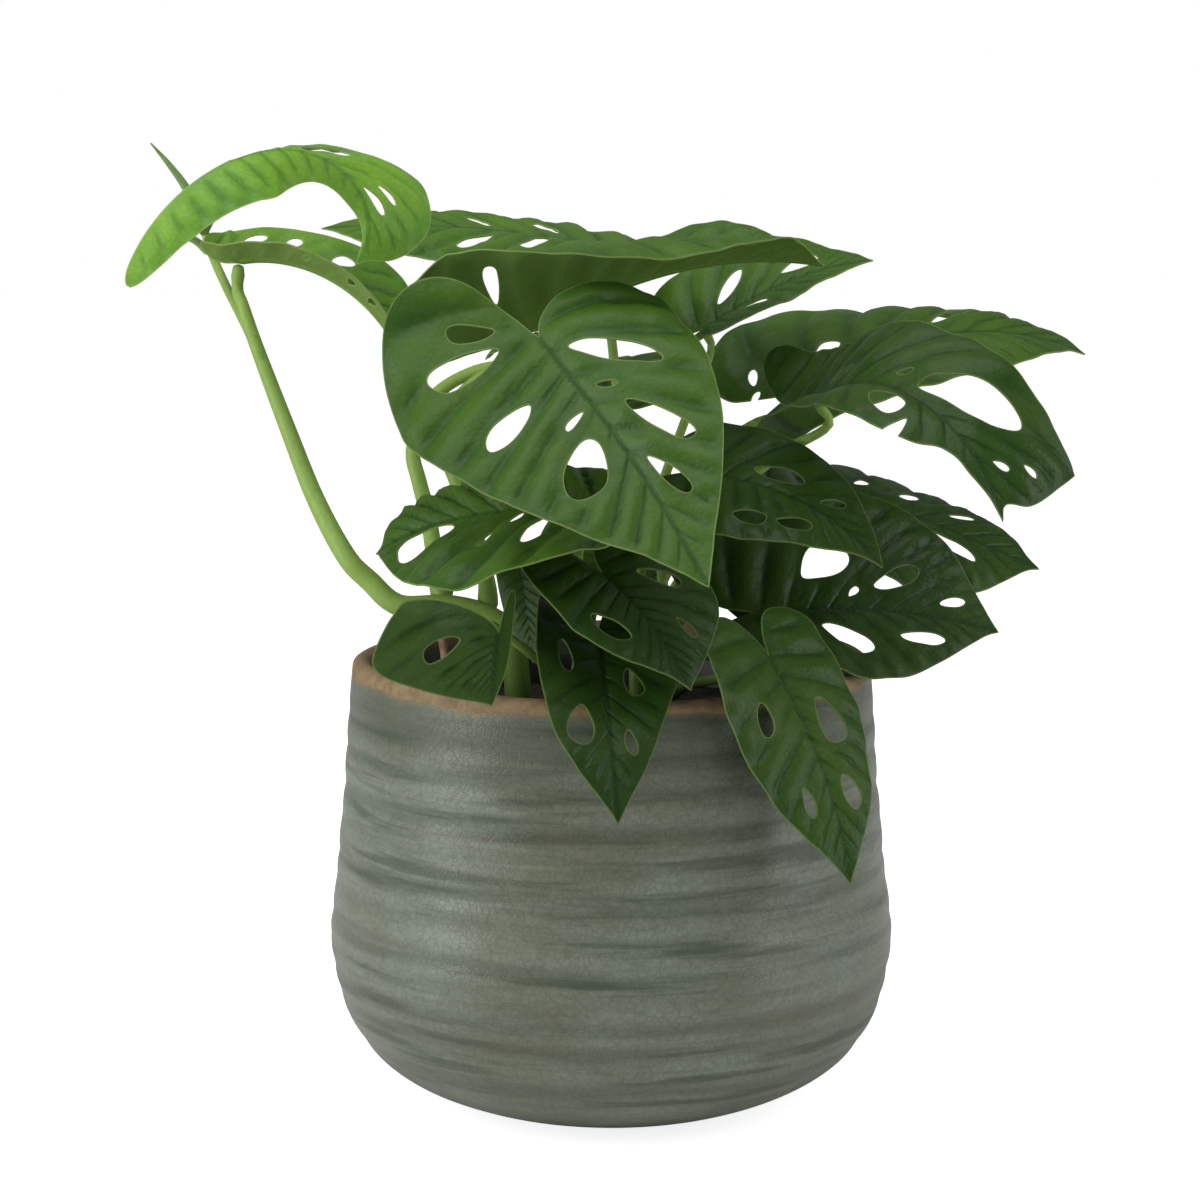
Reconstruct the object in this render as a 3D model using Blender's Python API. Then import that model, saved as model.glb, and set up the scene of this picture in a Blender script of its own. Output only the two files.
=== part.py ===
"""A potted Monstera adansonii: glazed pot, inner pot, soil, vines and leaves.

The front is toward -Y, up is +Z, and the pot stands on the ground at z = 0.
Every length below is in millimetres and every angle in degrees.
"""
import math
from collections import namedtuple

import bpy
import bmesh
from mathutils import Vector
from mathutils.geometry import delaunay_2d_cdt

MM = 0.001

# Pot
POT_HEIGHT = 137.0
POT_WALL = 6.0
POT_FLOOR = 8.0
POT_SEGMENTS = 56
# Outside of the pot as height and radius, from the foot to the lip
POT_SIDE = ((0, 42), (4, 55), (11, 69), (20.5, 78.5), (34, 84.8), (52, 87.4),
            (71, 85.4), (96, 82.8), (116, 81.4), (POT_HEIGHT - 3, 79.8))
# Inner nursery pot
LINER_TOP = 126.0
LINER_FLOOR = 12.0
LINER_RADIUS = 70.0
LINER_FOOT = 60.0
LINER_WALL = 1.5
LINER_BEAD = 2.5
# Soil
SOIL_TOP = 117.0
SOIL_CROWN = 3.0
SOIL_GAP = 0.3
SOIL_SIDES = 40
SOIL_HOLE_DEPTH = 22.0
STEM_GAP = 0.4

# Blades
BLADE_THICKNESS = 0.8
MIDRIB_THICKNESS = 1.3
LOBE_REACH = 30.0
SPINE_STEPS = 60
MARGIN_STEPS = 2
GRID_STEP = 12.5
EDGE_CLEARANCE = 4.0
SMALL_HOLE = 8.0

# Lobe of one leaf half: along the lobe length, across the half width
LOBE_SHAPE = ((-0.45, 0.08), (-0.88, 0.26), (-1.0, 0.5), (-0.8, 0.76), (-0.25, 0.94))
# Flank from the widest place to the tip: share of the way, share of the width
FLANK_SHAPE = ((0.40, 0.86), (0.66, 0.55), (0.84, 0.25))
TIP_START = (0.955, 0.075)

Half = namedtuple("Half", "width lobe widest fullness fold tip_fold curl tip_curl")
Leaf = namedtuple("Leaf", "name base heading pitch roll length droop droop_power "
                          "sweep twist lobe_drop left right holes")
Stem = namedtuple("Stem", "name colour limbs")
Limb = namedtuple("Limb", "leaf start_radius end_radius points")

GREEN = (0.045, 0.130, 0.028)
DARK_GREEN = (0.022, 0.070, 0.016)
FRESH_GREEN = (0.080, 0.190, 0.040)
STEM_GREEN = (0.210, 0.330, 0.080)

# Each blade: base of the midrib, direction of the midrib, size, bend, then the
# two halves and the holes. Heading 0 points to +X and 90 points to +Y. A hole
# runs from its inner end to its outer end, along and across the flat blade,
# and its last number is its width; a plus sign across is the left half.
LEAVES = (
    Leaf("leaf_front", (-21, -51, 238), -50, -35, 50, 98, 15, 1.3, 0, -5, -45,
         Half(42, 11, 0.1, 0.9, 5, 15, -70, -30),
         Half(49, 26, 0.1, 0.9, 10, 25, -5, -10),
         ((-9, -10, -13, -23, 5), (-3, -12, -4, -34, 7), (19, -15, 26, -32, 8),
          (31, -4, 34, -11, 2.5), (40, -6, 57, -19, 12), (9, 5, 29, 24, 7),
          (26, 4, 30, 9, 2), (37, 8, 57, 18, 6), (55, 4, 71, 9, 4))),
    Leaf("leaf_top_left", (-111, -36, 288), 40, 20, 15, 69, 150, 1.5, -45, 70, 20,
         Half(36, 4, 0.45, 1.25, -48, -4, -20, -40),
         Half(16, 54, 0.1, 0.55, -20, -60, -20, -15),
         ((10, 8, 20, 20, 6), (27, 9, 38, 22, 6), (45, 3, 54, 6, 3),
          (47, 9, 52, 12, 2.5))),
    Leaf("leaf_left_fold", (-117, 28, 257), 0, 15, 5, 72, 89, 0.8, -5, 10, -140,
         Half(19, 17, 0.35, 1.25, 28, 30, -5, -5),
         Half(8, 15, 0.4, 1.35, 65, 30, -10, 10),
         ((1, 7, 8, 13, 5), (14, 8, 17, 14, 4), (28, 7, 33, 12, 5),
          (21, -3, 22, -6, 2), (36, -3, 37, -6, 3), (44, -3, 46, -7, 3))),
    Leaf("leaf_back", (-2, 72, 261), 180, 10, -15, 93, 15, 1.3, 0, -5, 10,
         Half(36, 18, 0.25, 1.0, 15, -5, -10, -20),
         Half(26, 18, 0.25, 1.0, 0, 5, -15, -25),
         ((18, 8, 26, 22, 6), (37, 7, 47, 20, 6), (60, 5, 68, 11, 3),
          (16, -6, 24, -16, 5), (38, -5, 46, -13, 4))),
    Leaf("leaf_mid_upper", (-24, 1, 237), -15, 30, 5, 93, 40, 1.3, 20, 5, 10,
         Half(38, 22, 0.3, 0.95, 10, 35, -20, -25),
         Half(51, 33, 0.3, 0.93, 50, 55, -20, -150),
         ((-2, -17, 5, -35, 4), (10, 8, 22, 24, 7), (30, 8, 46, 22, 7),
          (54, 7, 66, 14, 5))),
    Leaf("leaf_top_right", (29, 31, 236), 0, 35, 25, 58, 30, 1.3, 0, 0, 10,
         Half(31, 12, 0.25, 1.0, 15, 5, -10, -20),
         Half(16, 12, 0.25, 1.0, 20, 5, -5, -15),
         ((8, 6, 19, 17, 5), (30, 6, 42, 9, 6), (13, -5, 22, -9, 3))),
    Leaf("leaf_right_back", (60, 43, 216), 10, 30, 25, 100, 55, 1.3, 0, 0, 10,
         Half(45, 20, 0.25, 1.0, 10, 5, -10, -105),
         Half(32, 24, 0.25, 1.05, 15, 5, -10, -25),
         ((9, 7, 20, 13, 6), (-10, 12, -7, 19, 3), (-15, 5, -10, 9, 2.5),
          (50, 8, 64, 18, 5), (15, -7, 26, -18, 6), (38, -7, 52, -15, 6))),
    Leaf("leaf_right_front", (61, -16, 217), -65, 25, 30, 97, 100, 1.2, 30, 5, -35,
         Half(28, 52, 0.85, 1.35, 20, 0, -10, -25),
         Half(16, 4, 0.55, 0.45, 20, 5, -10, -20),
         ((46, 4, 74, 17, 11), (36, -5, 51, -8, 8), (5, 5, 14, 9, 2.5),
          (37, 5, 41, 8, 2.5), (55, -9, 57, -24, 6), (80, 4, 84, 7, 2),
          (84, 12, 88, 14, 2))),
    Leaf("leaf_right_mid", (27, -22, 196), -25, -5, 30, 64, 45, 1.3, 5, -5, 10,
         Half(26, 14, 0.2, 0.9, 5, 5, -10, -15),
         Half(26, 16, 0.25, 0.95, 5, 10, -20, -20),
         ((14, 6, 29, 8, 6), (37, 4, 43, 9, 3), (18, -17, 28, -14, 6),
          (31, -13, 41, -9, 6))),
    Leaf("leaf_right_low", (43, -19, 153), 10, 5, 45, 78, 25, 1.3, 0, 15, 15,
         Half(46, 20, 0.25, 1.05, 10, 10, -10, -50),
         Half(29, 15, 0.3, 0.95, 30, -5, 5, -30),
         ((17, 11, 30, 21, 11), (30, 4, 33, 7, 2), (38, 7, 51, 14, 6),
          (58, 4, 66, 7, 3), (19, -9, 35, -16, 8), (45, -9, 60, -8, 4))),
    Leaf("leaf_right_far", (58, 49, 190), 5, -20, 25, 89, 5, 1.3, 0, 15, 10,
         Half(34, 16, 0.3, 1.1, -5, 5, -25, -70),
         Half(39, 16, 0.3, 1.05, 15, -5, -10, -20),
         ((22, 5, 27, 9, 3), (38, 7, 45, 13, 4), (56, 8, 65, 12, 3),
          (46, -6, 66, -9, 6), (15, -8, 28, -22, 6))),
    Leaf("leaf_low_mid", (-3, -68, 172), -40, -30, 20, 45, 30, 1.3, 0, -10, 10,
         Half(26, 12, 0.25, 1.05, 15, 5, -15, -20),
         Half(25, 19, 0.25, 1.0, 15, 10, -10, -25),
         ((13, -16, 25, -11, 7), (24, 8, 31, 10, 3), (6, 8, 15, 17, 4))),
    Leaf("leaf_low_front", (-4, -60, 154), -85, -30, -5, 66, 40, 1.3, 5, 0, 10,
         Half(22, 14, 0.25, 0.8, 15, 5, -10, -20),
         Half(20, 16, 0.25, 1.0, 20, 5, -5, -20),
         ((31, -8, 43, -9, 7), (38, 5, 46, 6, 3), (17, 7, 27, 9, 5),
          (8, -12, 20, -11, 4))),
    Leaf("leaf_low_right", (45, -60, 147), -45, -50, 15, 71, 30, 1.3, 0, 5, 10,
         Half(21, 14, 0.25, 0.9, 5, 5, -15, -30),
         Half(25, 14, 0.25, 0.95, 20, 0, -10, -25),
         ((14, -12, 24, -14, 5), (17, 8, 31, 9, 8), (40, 6, 50, 7, 5),
          (41, -8, 50, -7, 3))),
    Leaf("leaf_low_left", (-32, -81, 157), -125, -75, -50, 21, 15, 1.3, 0, 0, 15,
         Half(4, 13, 0.25, 0.95, 15, 5, -10, -20),
         Half(36, 5, 0.35, 1.1, 20, 0, 0, -15),
         ((4, -12, 9, -22, 5),)),
    Leaf("leaf_mid_left", (-9, -47, 189), 180, -3, -30, 68, 30, 1.6, -35, -10, 10,
         Half(45, 17, 0.3, 0.9, 25, 10, -10, -25),
         Half(24, 14, 0.45, 1.7, 10, 25, -35, -85),
         ((38, 3, 53, 14, 14), (24, 15, 26, 22, 3), (8, 13, 13, 30, 5),
          (16, 5, 18, 14, 2.5))),
    Leaf("leaf_inner", (36, 16, 176), 0, -60, 75, 46, -20, 1.3, 0, 5, 10,
         Half(7, 8, 0.25, 1.2, 10, 5, -15, -20),
         Half(16, 8, 0.25, 1.0, 15, 5, -10, -20),
         ((12, -5, 20, -9, 3),)),
    Leaf("leaf_edge", (-27, -44, 172), -60, -70, 60, 30, 10, 1.3, 0, 0, 10,
         Half(8, 5, 0.3, 1.0, 15, 5, -10, -20),
         Half(8, 5, 0.3, 1.0, 15, 5, -10, -20),
         ()),
    Leaf("leaf_rear_high", (-2, 72, 214), 90, 20, 0, 82, 60, 1.3, 0, 0, 10,
         Half(28, 18, 0.25, 1.0, 15, 5, -10, -20),
         Half(28, 18, 0.25, 1.0, 15, 5, -10, -20),
         ((10, 7, 20, 18, 6), (30, 7, 43, 17, 6), (52, 5, 62, 9, 4),
          (12, -7, 22, -18, 6), (33, -7, 45, -16, 6))),
    Leaf("leaf_rear_low", (0, 56, 158), 80, 25, 0, 76, 60, 1.3, 0, 0, 10,
         Half(26, 16, 0.25, 1.0, 15, 5, -10, -20),
         Half(26, 16, 0.25, 1.0, 15, 5, -10, -20),
         ((10, 7, 19, 17, 5), (29, 6, 41, 15, 6), (11, -7, 20, -17, 5),
          (31, -6, 43, -14, 5))),
)
DARK_LEAVES = ("leaf_low_mid", "leaf_low_front", "leaf_low_right", "leaf_right_low",
               "leaf_inner", "leaf_edge", "leaf_rear_low",
               "leaf_right_mid")
FRESH_LEAVES = ("leaf_top_left", "leaf_left_fold", "leaf_back", "leaf_top_right")

# Vines and petioles. A limb is the leaf that it carries, its start and end radius
# and its points. The first limb of a stem comes out of the soil, the others branch
# off it, and a limb with a leaf ends just under the base of that leaf.
STEMS = (
    Stem("vine_left", STEM_GREEN, (
        Limb("leaf_left_fold", 4.4, 1.8,
             ((-28, -28, 98), (-28, -28, 113), (-28, -28, 128), (-30, -28, 146),
              (-37, -26, 153), (-49, -24, 156), (-64, -22, 156), (-73, -19, 163),
              (-80, -17, 170), (-90, -6, 186), (-99, 4, 206), (-110, 18, 231),
              (-115, 24, 244))),
        Limb(None, 1.6, 1.3,
             ((-107, 14, 225), (-111, 18, 233), (-116, 26, 241), (-123, 44, 250),
              (-129, 54, 261), (-131, 56, 268), (-134, 56, 275))),
        Limb("leaf_top_left", 1.3, 0.8,
             ((-128, 52, 259), (-131, 32, 264), (-134, -10, 269), (-128, -36, 275),
              (-119, -39, 279))),
        Limb("leaf_mid_upper", 2.9, 1.5,
             ((-50, -24, 156), (-53, -14, 166), (-56, -2, 180), (-59, 1, 191),
              (-61, 5, 201), (-56, 12, 215), (-42, 13, 224))),
        Limb("leaf_front", 2.6, 1.7,
             ((-37, -26, 153), (-38, -16, 164), (-43, -3, 180), (-48, 1, 192),
              (-51, 2, 202), (-47, -6, 216), (-35, -24, 227))),
    )),
    Stem("vine_front", STEM_GREEN, (
        Limb("leaf_mid_left", 2.2, 1.2,
             ((-8, -30, 98), (-8, -30, 113), (-8, -30, 128), (-9, -30, 150),
              (-10, -34, 172))),
        Limb("leaf_low_front", 1.8, 1.1,
             ((-8, -30, 124), (-8, -36, 136), (-7, -46, 144))),
        Limb("leaf_low_mid", 1.6, 1.1,
             ((-8, -29, 130), (-7, -36, 148), (-5, -50, 161))),
        Limb("leaf_low_left", 1.6, 1.1,
             ((-8, -30, 123), (-14, -42, 136), (-23, -60, 147))),
        Limb("leaf_edge", 1.5, 1.1,
             ((-8, -29, 140), (-14, -31, 156))),
    )),
    Stem("vine_right", STEM_GREEN, (
        Limb("leaf_right_mid", 2.4, 1.3,
             ((14, -14, 98), (14, -14, 113), (14, -14, 128), (15, -14, 155),
              (18, -14, 178))),
        Limb("leaf_right_low", 1.8, 1.2,
             ((14, -14, 124), (24, -12, 136), (34, -12, 144))),
        Limb("leaf_low_right", 1.8, 1.2,
             ((14, -14, 123), (22, -26, 132), (34, -44, 138))),
        Limb("leaf_right_front", 2.0, 1.3,
             ((15, -14, 160), (19, -12, 176), (28, -7, 187), (42, -3, 193), (53, -5, 201))),
    )),
    Stem("vine_back", STEM_GREEN, (
        Limb("leaf_back", 2.6, 1.3,
             ((8, 26, 98), (8, 26, 113), (8, 26, 128), (6, 38, 170), (2, 54, 215),
              (-1, 66, 243))),
        Limb("leaf_inner", 1.6, 1.1,
             ((8, 26, 130), (16, 26, 148), (26, 22, 165))),
        Limb("leaf_right_far", 1.9, 1.2,
             ((8, 26, 126), (26, 36, 148), (44, 48, 170))),
        Limb("leaf_right_back", 2.0, 1.3,
             ((8, 28, 138), (20, 36, 165), (31, 42, 192), (46, 46, 205))),
        Limb("leaf_top_right", 1.9, 1.2,
             ((7, 30, 150), (14, 30, 180), (25, 30, 212))),
        Limb("leaf_rear_high", 1.9, 1.2,
             ((6, 38, 168), (2, 50, 188), (-1, 62, 202))),
        Limb("leaf_rear_low", 1.8, 1.2,
             ((8, 27, 126), (6, 37, 139), (1, 47, 148))),
    )),
)
STEM_STEP = 9.0
STEM_SIDES = 6
NECK = 7.0
JOINT_GAP = 0.4

# Dry stick and the pale sheath of an old petiole
STICK = ((-47, -36, 98), (-47, -36, 112), (-47, -36, 126), (-50, -40, 150))
STICK_RADIUS = 1.5
SHEATH = ((-13, -46, 98), (-13, -46, 112), (-13, -46, 126), (-10, -47, 146))
SHEATH_RADIUS = 1.4

# Rolled young leaf at the top left
SHOOT = ((-134.5, 56, 276.5), (-137, 56, 281), (-142, 55, 288), (-147, 54, 294))
SHOOT_RADII = (1.3, 1.3, 0.9, 0.3)


def lerp(a, b, t):
    return a + (b - a) * t


def spline(points, steps):
    """Smooth curve through the points, with a number of steps between two of them."""
    points = [Vector(p) for p in points]
    ends = [2 * points[0] - points[1]] + points + [2 * points[-1] - points[-2]]
    curve = []
    for i in range(1, len(ends) - 2):
        p0, p1, p2, p3 = ends[i - 1:i + 3]
        for j in range(steps):
            t = j / steps
            curve.append(0.5 * (2 * p1 + (p2 - p0) * t
                                + (2 * p0 - 5 * p1 + 4 * p2 - p3) * t * t
                                + (3 * p1 - 3 * p2 + p3 - p0) * t ** 3))
    curve.append(points[-1])
    return curve


def half_margin(leaf, half):
    """Margin of one flat half from the base of the midrib to the tip."""
    points = [(0.0, 0.0)]
    points += [(a * half.lobe, b * half.width) for a, b in LOBE_SHAPE]
    widest = half.widest * leaf.length
    rest = leaf.length - widest
    points.append((widest, half.width))
    points += [(widest + a * rest, b * half.width * half.fullness) for a, b in FLANK_SHAPE]
    points.append((TIP_START[0] * leaf.length, TIP_START[1] * half.width))
    points.append((leaf.length, 0.0))
    return spline([(u, v, 0) for u, v in points], MARGIN_STEPS)


def flat_outline(leaf):
    """Closed margin of the flat blade, from the tip over the left half and back."""
    left = half_margin(leaf, leaf.left)
    right = half_margin(leaf, leaf.right)
    outline = [Vector((p.x, p.y)) for p in reversed(left)]
    outline += [Vector((p.x, -p.y)) for p in right[1:-1]]
    return outline


def flat_hole(hole):
    """Closed oval of one hole."""
    u0, v0, u1, v1, width = hole
    middle = Vector((u0 + u1, v0 + v1)) / 2
    along = Vector((u1 - u0, v1 - v0)) / 2
    across = Vector((-along.y, along.x)).normalized() * width / 2
    count = 8 if 2 * along.length < SMALL_HOLE else 10
    turns = [2 * math.pi * i / count for i in range(count)]
    return [middle + along * math.cos(t) + across * math.sin(t) for t in turns]


def inside(point, loop):
    odd = False
    for a, b in zip(loop, loop[1:] + loop[:1]):
        if (a.y > point.y) != (b.y > point.y):
            if point.x < (b.x - a.x) * (point.y - a.y) / (b.y - a.y) + a.x:
                odd = not odd
    return odd


def clearance(point, loop):
    """Shortest distance from a point to the edges of a loop."""
    best = 1e9
    for a, b in zip(loop, loop[1:] + loop[:1]):
        edge = b - a
        t = max(0.0, min(1.0, (point - a).dot(edge) / edge.length_squared))
        best = min(best, (point - a - edge * t).length)
    return best


def flat_blade(leaf):
    """Vertices and triangles of the flat blade."""
    outline = flat_outline(leaf)
    holes = [flat_hole(h) for h in leaf.holes]
    loops = [outline] + holes
    verts = [p for loop in loops for p in loop]
    faces = []
    start = 0
    for loop in loops:
        faces.append(list(range(start, start + len(loop))))
        start += len(loop)
    count = max(2, round(leaf.length / GRID_STEP))
    base = len(half_margin(leaf, leaf.left)) - 1
    edges = []
    previous = base
    for i in range(1, count):
        verts.append(Vector((leaf.length * i / count, 0)))
        edges.append((previous, len(verts) - 1))
        previous = len(verts) - 1
    edges.append((previous, 0))
    row = 0
    v = -leaf.right.width
    while v < leaf.left.width:
        u = -max(leaf.left.lobe, leaf.right.lobe) + (row % 2) * GRID_STEP / 2
        while u < leaf.length:
            p = Vector((u, v))
            u += GRID_STEP
            if abs(v) < EDGE_CLEARANCE and p.x > 0:
                continue
            if not inside(p, outline) or clearance(p, outline) < EDGE_CLEARANCE:
                continue
            if any(inside(p, h) or clearance(p, h) < EDGE_CLEARANCE for h in holes):
                continue
            verts.append(p)
        v += GRID_STEP * 0.87
        row += 1
    result = delaunay_2d_cdt(verts, edges, faces, 1, 1e-5, True)
    triangles = [f for f, source in zip(result[2], result[5]) if source == [0]]
    return result[0], triangles


def spine(leaf):
    """Frames along the midrib: distance, point, along, across and up."""
    low = -1.1 * max(leaf.left.lobe, leaf.right.lobe) - 1
    frames = []
    for i in range(SPINE_STEPS + 1):
        u = lerp(low, leaf.length, i / SPINE_STEPS)
        f = min(max(u / leaf.length, 0.0), 1.0)
        back = max(-u / LOBE_REACH, 0.0)
        pitch = math.radians(leaf.pitch - leaf.droop * f ** leaf.droop_power
                             + leaf.lobe_drop * back)
        heading = math.radians(leaf.heading + leaf.sweep * f)
        roll = math.radians(leaf.roll + leaf.twist * f)
        along = Vector((math.cos(pitch) * math.cos(heading),
                        math.cos(pitch) * math.sin(heading), math.sin(pitch)))
        level = Vector((-math.sin(heading), math.cos(heading), 0))
        up = along.cross(level)
        across = level * math.cos(roll) + up * math.sin(roll)
        up = up * math.cos(roll) - level * math.sin(roll)
        frames.append([u, Vector((0, 0, 0)), along, across, up])
    for last, this in zip(frames, frames[1:]):
        this[1] = last[1] + (last[2] + this[2]) / 2 * (this[0] - last[0])
    origin = frame_at(frames, 0.0)[1]
    for frame in frames:
        frame[1] = frame[1] - origin + Vector(leaf.base)
    return frames


def frame_at(frames, u):
    step = frames[1][0] - frames[0][0]
    place = min(max((u - frames[0][0]) / step, 0.0), len(frames) - 1.0001)
    i = int(place)
    return [lerp(a, b, place - i) for a, b in zip(frames[i], frames[i + 1])]


def bent(leaf, frames, u, v):
    """Point of the bent blade for a point of the flat blade."""
    _, point, _, across, up = frame_at(frames, u)
    half = leaf.left if v >= 0 else leaf.right
    f = min(max(u / leaf.length, 0.0), 1.0)
    fold = math.radians(lerp(half.fold, half.tip_fold, f))
    curl = math.radians(lerp(half.curl, half.tip_curl, f)) / half.width
    if abs(curl) < 1e-6:
        curl = 1e-6
    reach = fold + curl * abs(v)
    out = (math.sin(reach) - math.sin(fold)) / curl
    rise = (math.cos(fold) - math.cos(reach)) / curl
    side = 1.0 if v >= 0 else -1.0
    return point + across * side * out + up * rise


def add_object(name, verts, faces, colour, roughness, hidden=False):
    mesh = bpy.data.meshes.new(name)
    mesh.from_pydata([tuple(Vector(v) * MM) for v in verts], [], faces)
    mesh.validate()
    obj = bpy.data.objects.new(name, mesh)
    bpy.context.scene.collection.objects.link(obj)
    material = bpy.data.materials.new(name)
    material.use_nodes = True
    shader = material.node_tree.nodes["Principled BSDF"]
    shader.inputs["Base Color"].default_value = (*colour, 1.0)
    shader.inputs["Roughness"].default_value = roughness
    mesh.materials.append(material)
    work = bmesh.new()
    work.from_mesh(mesh)
    bmesh.ops.remove_doubles(work, verts=work.verts, dist=1e-7)
    bmesh.ops.recalc_face_normals(work, faces=work.faces)
    if work.calc_volume(signed=True) < 0:
        bmesh.ops.reverse_faces(work, faces=work.faces)
    work.to_mesh(mesh)
    work.free()
    if hidden:
        obj.hide_render = True
        obj.display_type = "WIRE"
    return obj


def make_leaf(leaf):
    """Blade of even thickness with its real margin and real holes."""
    flat, triangles = flat_blade(leaf)
    frames = spine(leaf)
    points = [bent(leaf, frames, p.x, p.y) for p in flat]
    faces = []
    normals = [Vector((0, 0, 0)) for _ in points]
    used = [[] for _ in points]
    for a, b, c in triangles:
        if (flat[b] - flat[a]).cross(flat[c] - flat[a]) < 0:
            b, c = c, b
        normal = (points[b] - points[a]).cross(points[c] - points[a]).normalized()
        faces.append((a, b, c))
        for i, j, k in ((a, b, c), (b, c, a), (c, a, b)):
            angle = (points[j] - points[i]).angle(points[k] - points[i])
            normals[i] += normal * angle
            used[i].append(normal)
    top = []
    under = []
    for i, p in enumerate(points):
        normal = normals[i].normalized() if used[i] else Vector((0, 0, 1))
        facing = sum(max(normal.dot(n), 0.3) for n in used[i]) / max(len(used[i]), 1)
        thick = MIDRIB_THICKNESS if abs(flat[i].y) < 1e-6 else BLADE_THICKNESS
        shift = normal * thick / 2 / max(facing, 0.3)
        top.append(p + shift)
        under.append(p - shift)
    count = len(points)
    edges = {}
    for f in faces:
        for a, b in zip(f, f[1:] + f[:1]):
            if (b, a) in edges:
                del edges[(b, a)]
            else:
                edges[(a, b)] = True
    solid = list(faces)
    solid += [tuple(i + count for i in reversed(f)) for f in faces]
    for a, b in edges:
        solid += [(a, a + count, b + count), (a, b + count, b)]
    live = sorted({i for f in solid for i in f})
    place = {i: n for n, i in enumerate(live)}
    both = top + under
    verts = [both[i] for i in live]
    solid = [tuple(place[i] for i in f) for f in solid]
    colour = GREEN
    if leaf.name in DARK_LEAVES:
        colour = DARK_GREEN
    if leaf.name in FRESH_LEAVES:
        colour = FRESH_GREEN
    return add_object(leaf.name, verts, solid, colour, 0.35)


def tube(points, radii, sides):
    """Round tube through the points, flat at its start and domed at its end."""
    count = len(points)
    across = (points[1] - points[0]).normalized().orthogonal().normalized()
    verts = []
    faces = []
    for i, p in enumerate(points):
        ahead = points[min(i + 1, count - 1)] - points[max(i - 1, 0)]
        ahead.normalize()
        across = (across - ahead * across.dot(ahead)).normalized()
        other = ahead.cross(across)
        for j in range(sides):
            turn = 2 * math.pi * j / sides
            verts.append(p + (across * math.cos(turn) + other * math.sin(turn)) * radii[i])
    verts.append(points[0])
    verts.append(points[-1] + ahead * radii[-1] * 0.6)
    for i in range(count - 1):
        for j in range(sides):
            k = (j + 1) % sides
            a, b = i * sides + j, i * sides + k
            faces += [(a, b, b + sides), (a, b + sides, a + sides)]
    last = (count - 1) * sides
    for j in range(sides):
        k = (j + 1) % sides
        faces.append((len(verts) - 2, k, j))
        faces.append((len(verts) - 1, last + j, last + k))
    return verts, faces


def resampled(curve, step):
    """Points of a curve about one step apart, with both ends kept."""
    total = sum((b - a).length for a, b in zip(curve, curve[1:]))
    count = max(2, round(total / step))
    out = [curve[0]]
    walked = 0.0
    for a, b in zip(curve, curve[1:]):
        length = (b - a).length
        while length > 0 and len(out) < count and walked + length >= total * len(out) / count:
            out.append(a.lerp(b, (total * len(out) / count - walked) / length))
        walked += length
    out.append(curve[-1])
    return out


def limb_tube(limb, leaves):
    points = [Vector(p) for p in limb.points]
    if limb.leaf:
        leaf = leaves[limb.leaf]
        _, base, along, _, up = frame_at(spine(leaf), 0.0)
        gap = MIDRIB_THICKNESS / 2 + JOINT_GAP + limb.end_radius * 0.6
        end = base - up * gap
        points.append(end - up * NECK - along * NECK * 0.3)
        points.append(end)
    curve = resampled(spline(points, 8), STEM_STEP)
    last = len(curve) - 1
    radii = [lerp(limb.start_radius, limb.end_radius, i / last) for i in range(last + 1)]
    return tube(curve, radii, STEM_SIDES)


def make_stem(stem, leaves):
    """Vine with its petioles as one fused body."""
    body = None
    for i, limb in enumerate(stem.limbs):
        verts, faces = limb_tube(limb, leaves)
        name = stem.name if i == 0 else f"{stem.name}_limb_{i}"
        obj = add_object(name, verts, faces, stem.colour, 0.45, hidden=i > 0)
        if i == 0:
            body = obj
            continue
        fuse = body.modifiers.new(f"Limb {i}", "BOOLEAN")
        fuse.operation = "UNION"
        fuse.solver = "EXACT"
        fuse.object = obj
    return body


def turned(profile, segments, name, colour, roughness):
    """Solid of revolution from a closed profile of radius and height."""
    verts = []
    index = []
    for r, z in profile:
        if r < 1e-6:
            index.append([len(verts)] * segments)
            verts.append(Vector((0, 0, z)))
            continue
        index.append(list(range(len(verts), len(verts) + segments)))
        for j in range(segments):
            turn = 2 * math.pi * j / segments
            verts.append(Vector((r * math.cos(turn), r * math.sin(turn), z)))
    faces = []
    for a, b in zip(index, index[1:]):
        for j in range(segments):
            k = (j + 1) % segments
            corner = list(dict.fromkeys([a[j], a[k], b[k], b[j]]))
            if len(corner) >= 3:
                faces.append(tuple(corner))
    return add_object(name, verts, faces, colour, roughness)


def make_pot():
    """Thrown pot with a rounded lip and a flat foot."""
    outer = [(r, z) for z, r in POT_SIDE]
    mouth = outer[-1][0]
    lip = [(mouth - 1.2, POT_HEIGHT - 0.8), (mouth - 3, POT_HEIGHT),
           (mouth - POT_WALL + 1.2, POT_HEIGHT - 0.8), (mouth - POT_WALL, POT_HEIGHT - 3)]
    inner = [(r - POT_WALL, z) for r, z in reversed(outer[:-1]) if z > POT_FLOOR + 8]
    floor = [(60.0, POT_FLOOR), (0.0, POT_FLOOR)]
    profile = [(0.0, 0.0)] + outer + lip + inner + floor
    return turned(profile, POT_SEGMENTS, "pot", (0.150, 0.165, 0.120), 0.3)


def make_liner():
    """Thin black nursery pot that stands on the floor of the glazed pot."""
    foot = POT_FLOOR + 0.3
    bead = LINER_RADIUS + LINER_BEAD
    profile = [(0.0, foot), (LINER_FOOT - 2, foot), (LINER_RADIUS, LINER_TOP - 6),
               (bead, LINER_TOP - 5), (bead, LINER_TOP),
               (LINER_RADIUS - LINER_WALL, LINER_TOP),
               (LINER_FOOT - 2 - LINER_WALL, LINER_FLOOR), (0.0, LINER_FLOOR)]
    return turned(profile, 44, "nursery_pot", (0.012, 0.012, 0.013), 0.5)


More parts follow.
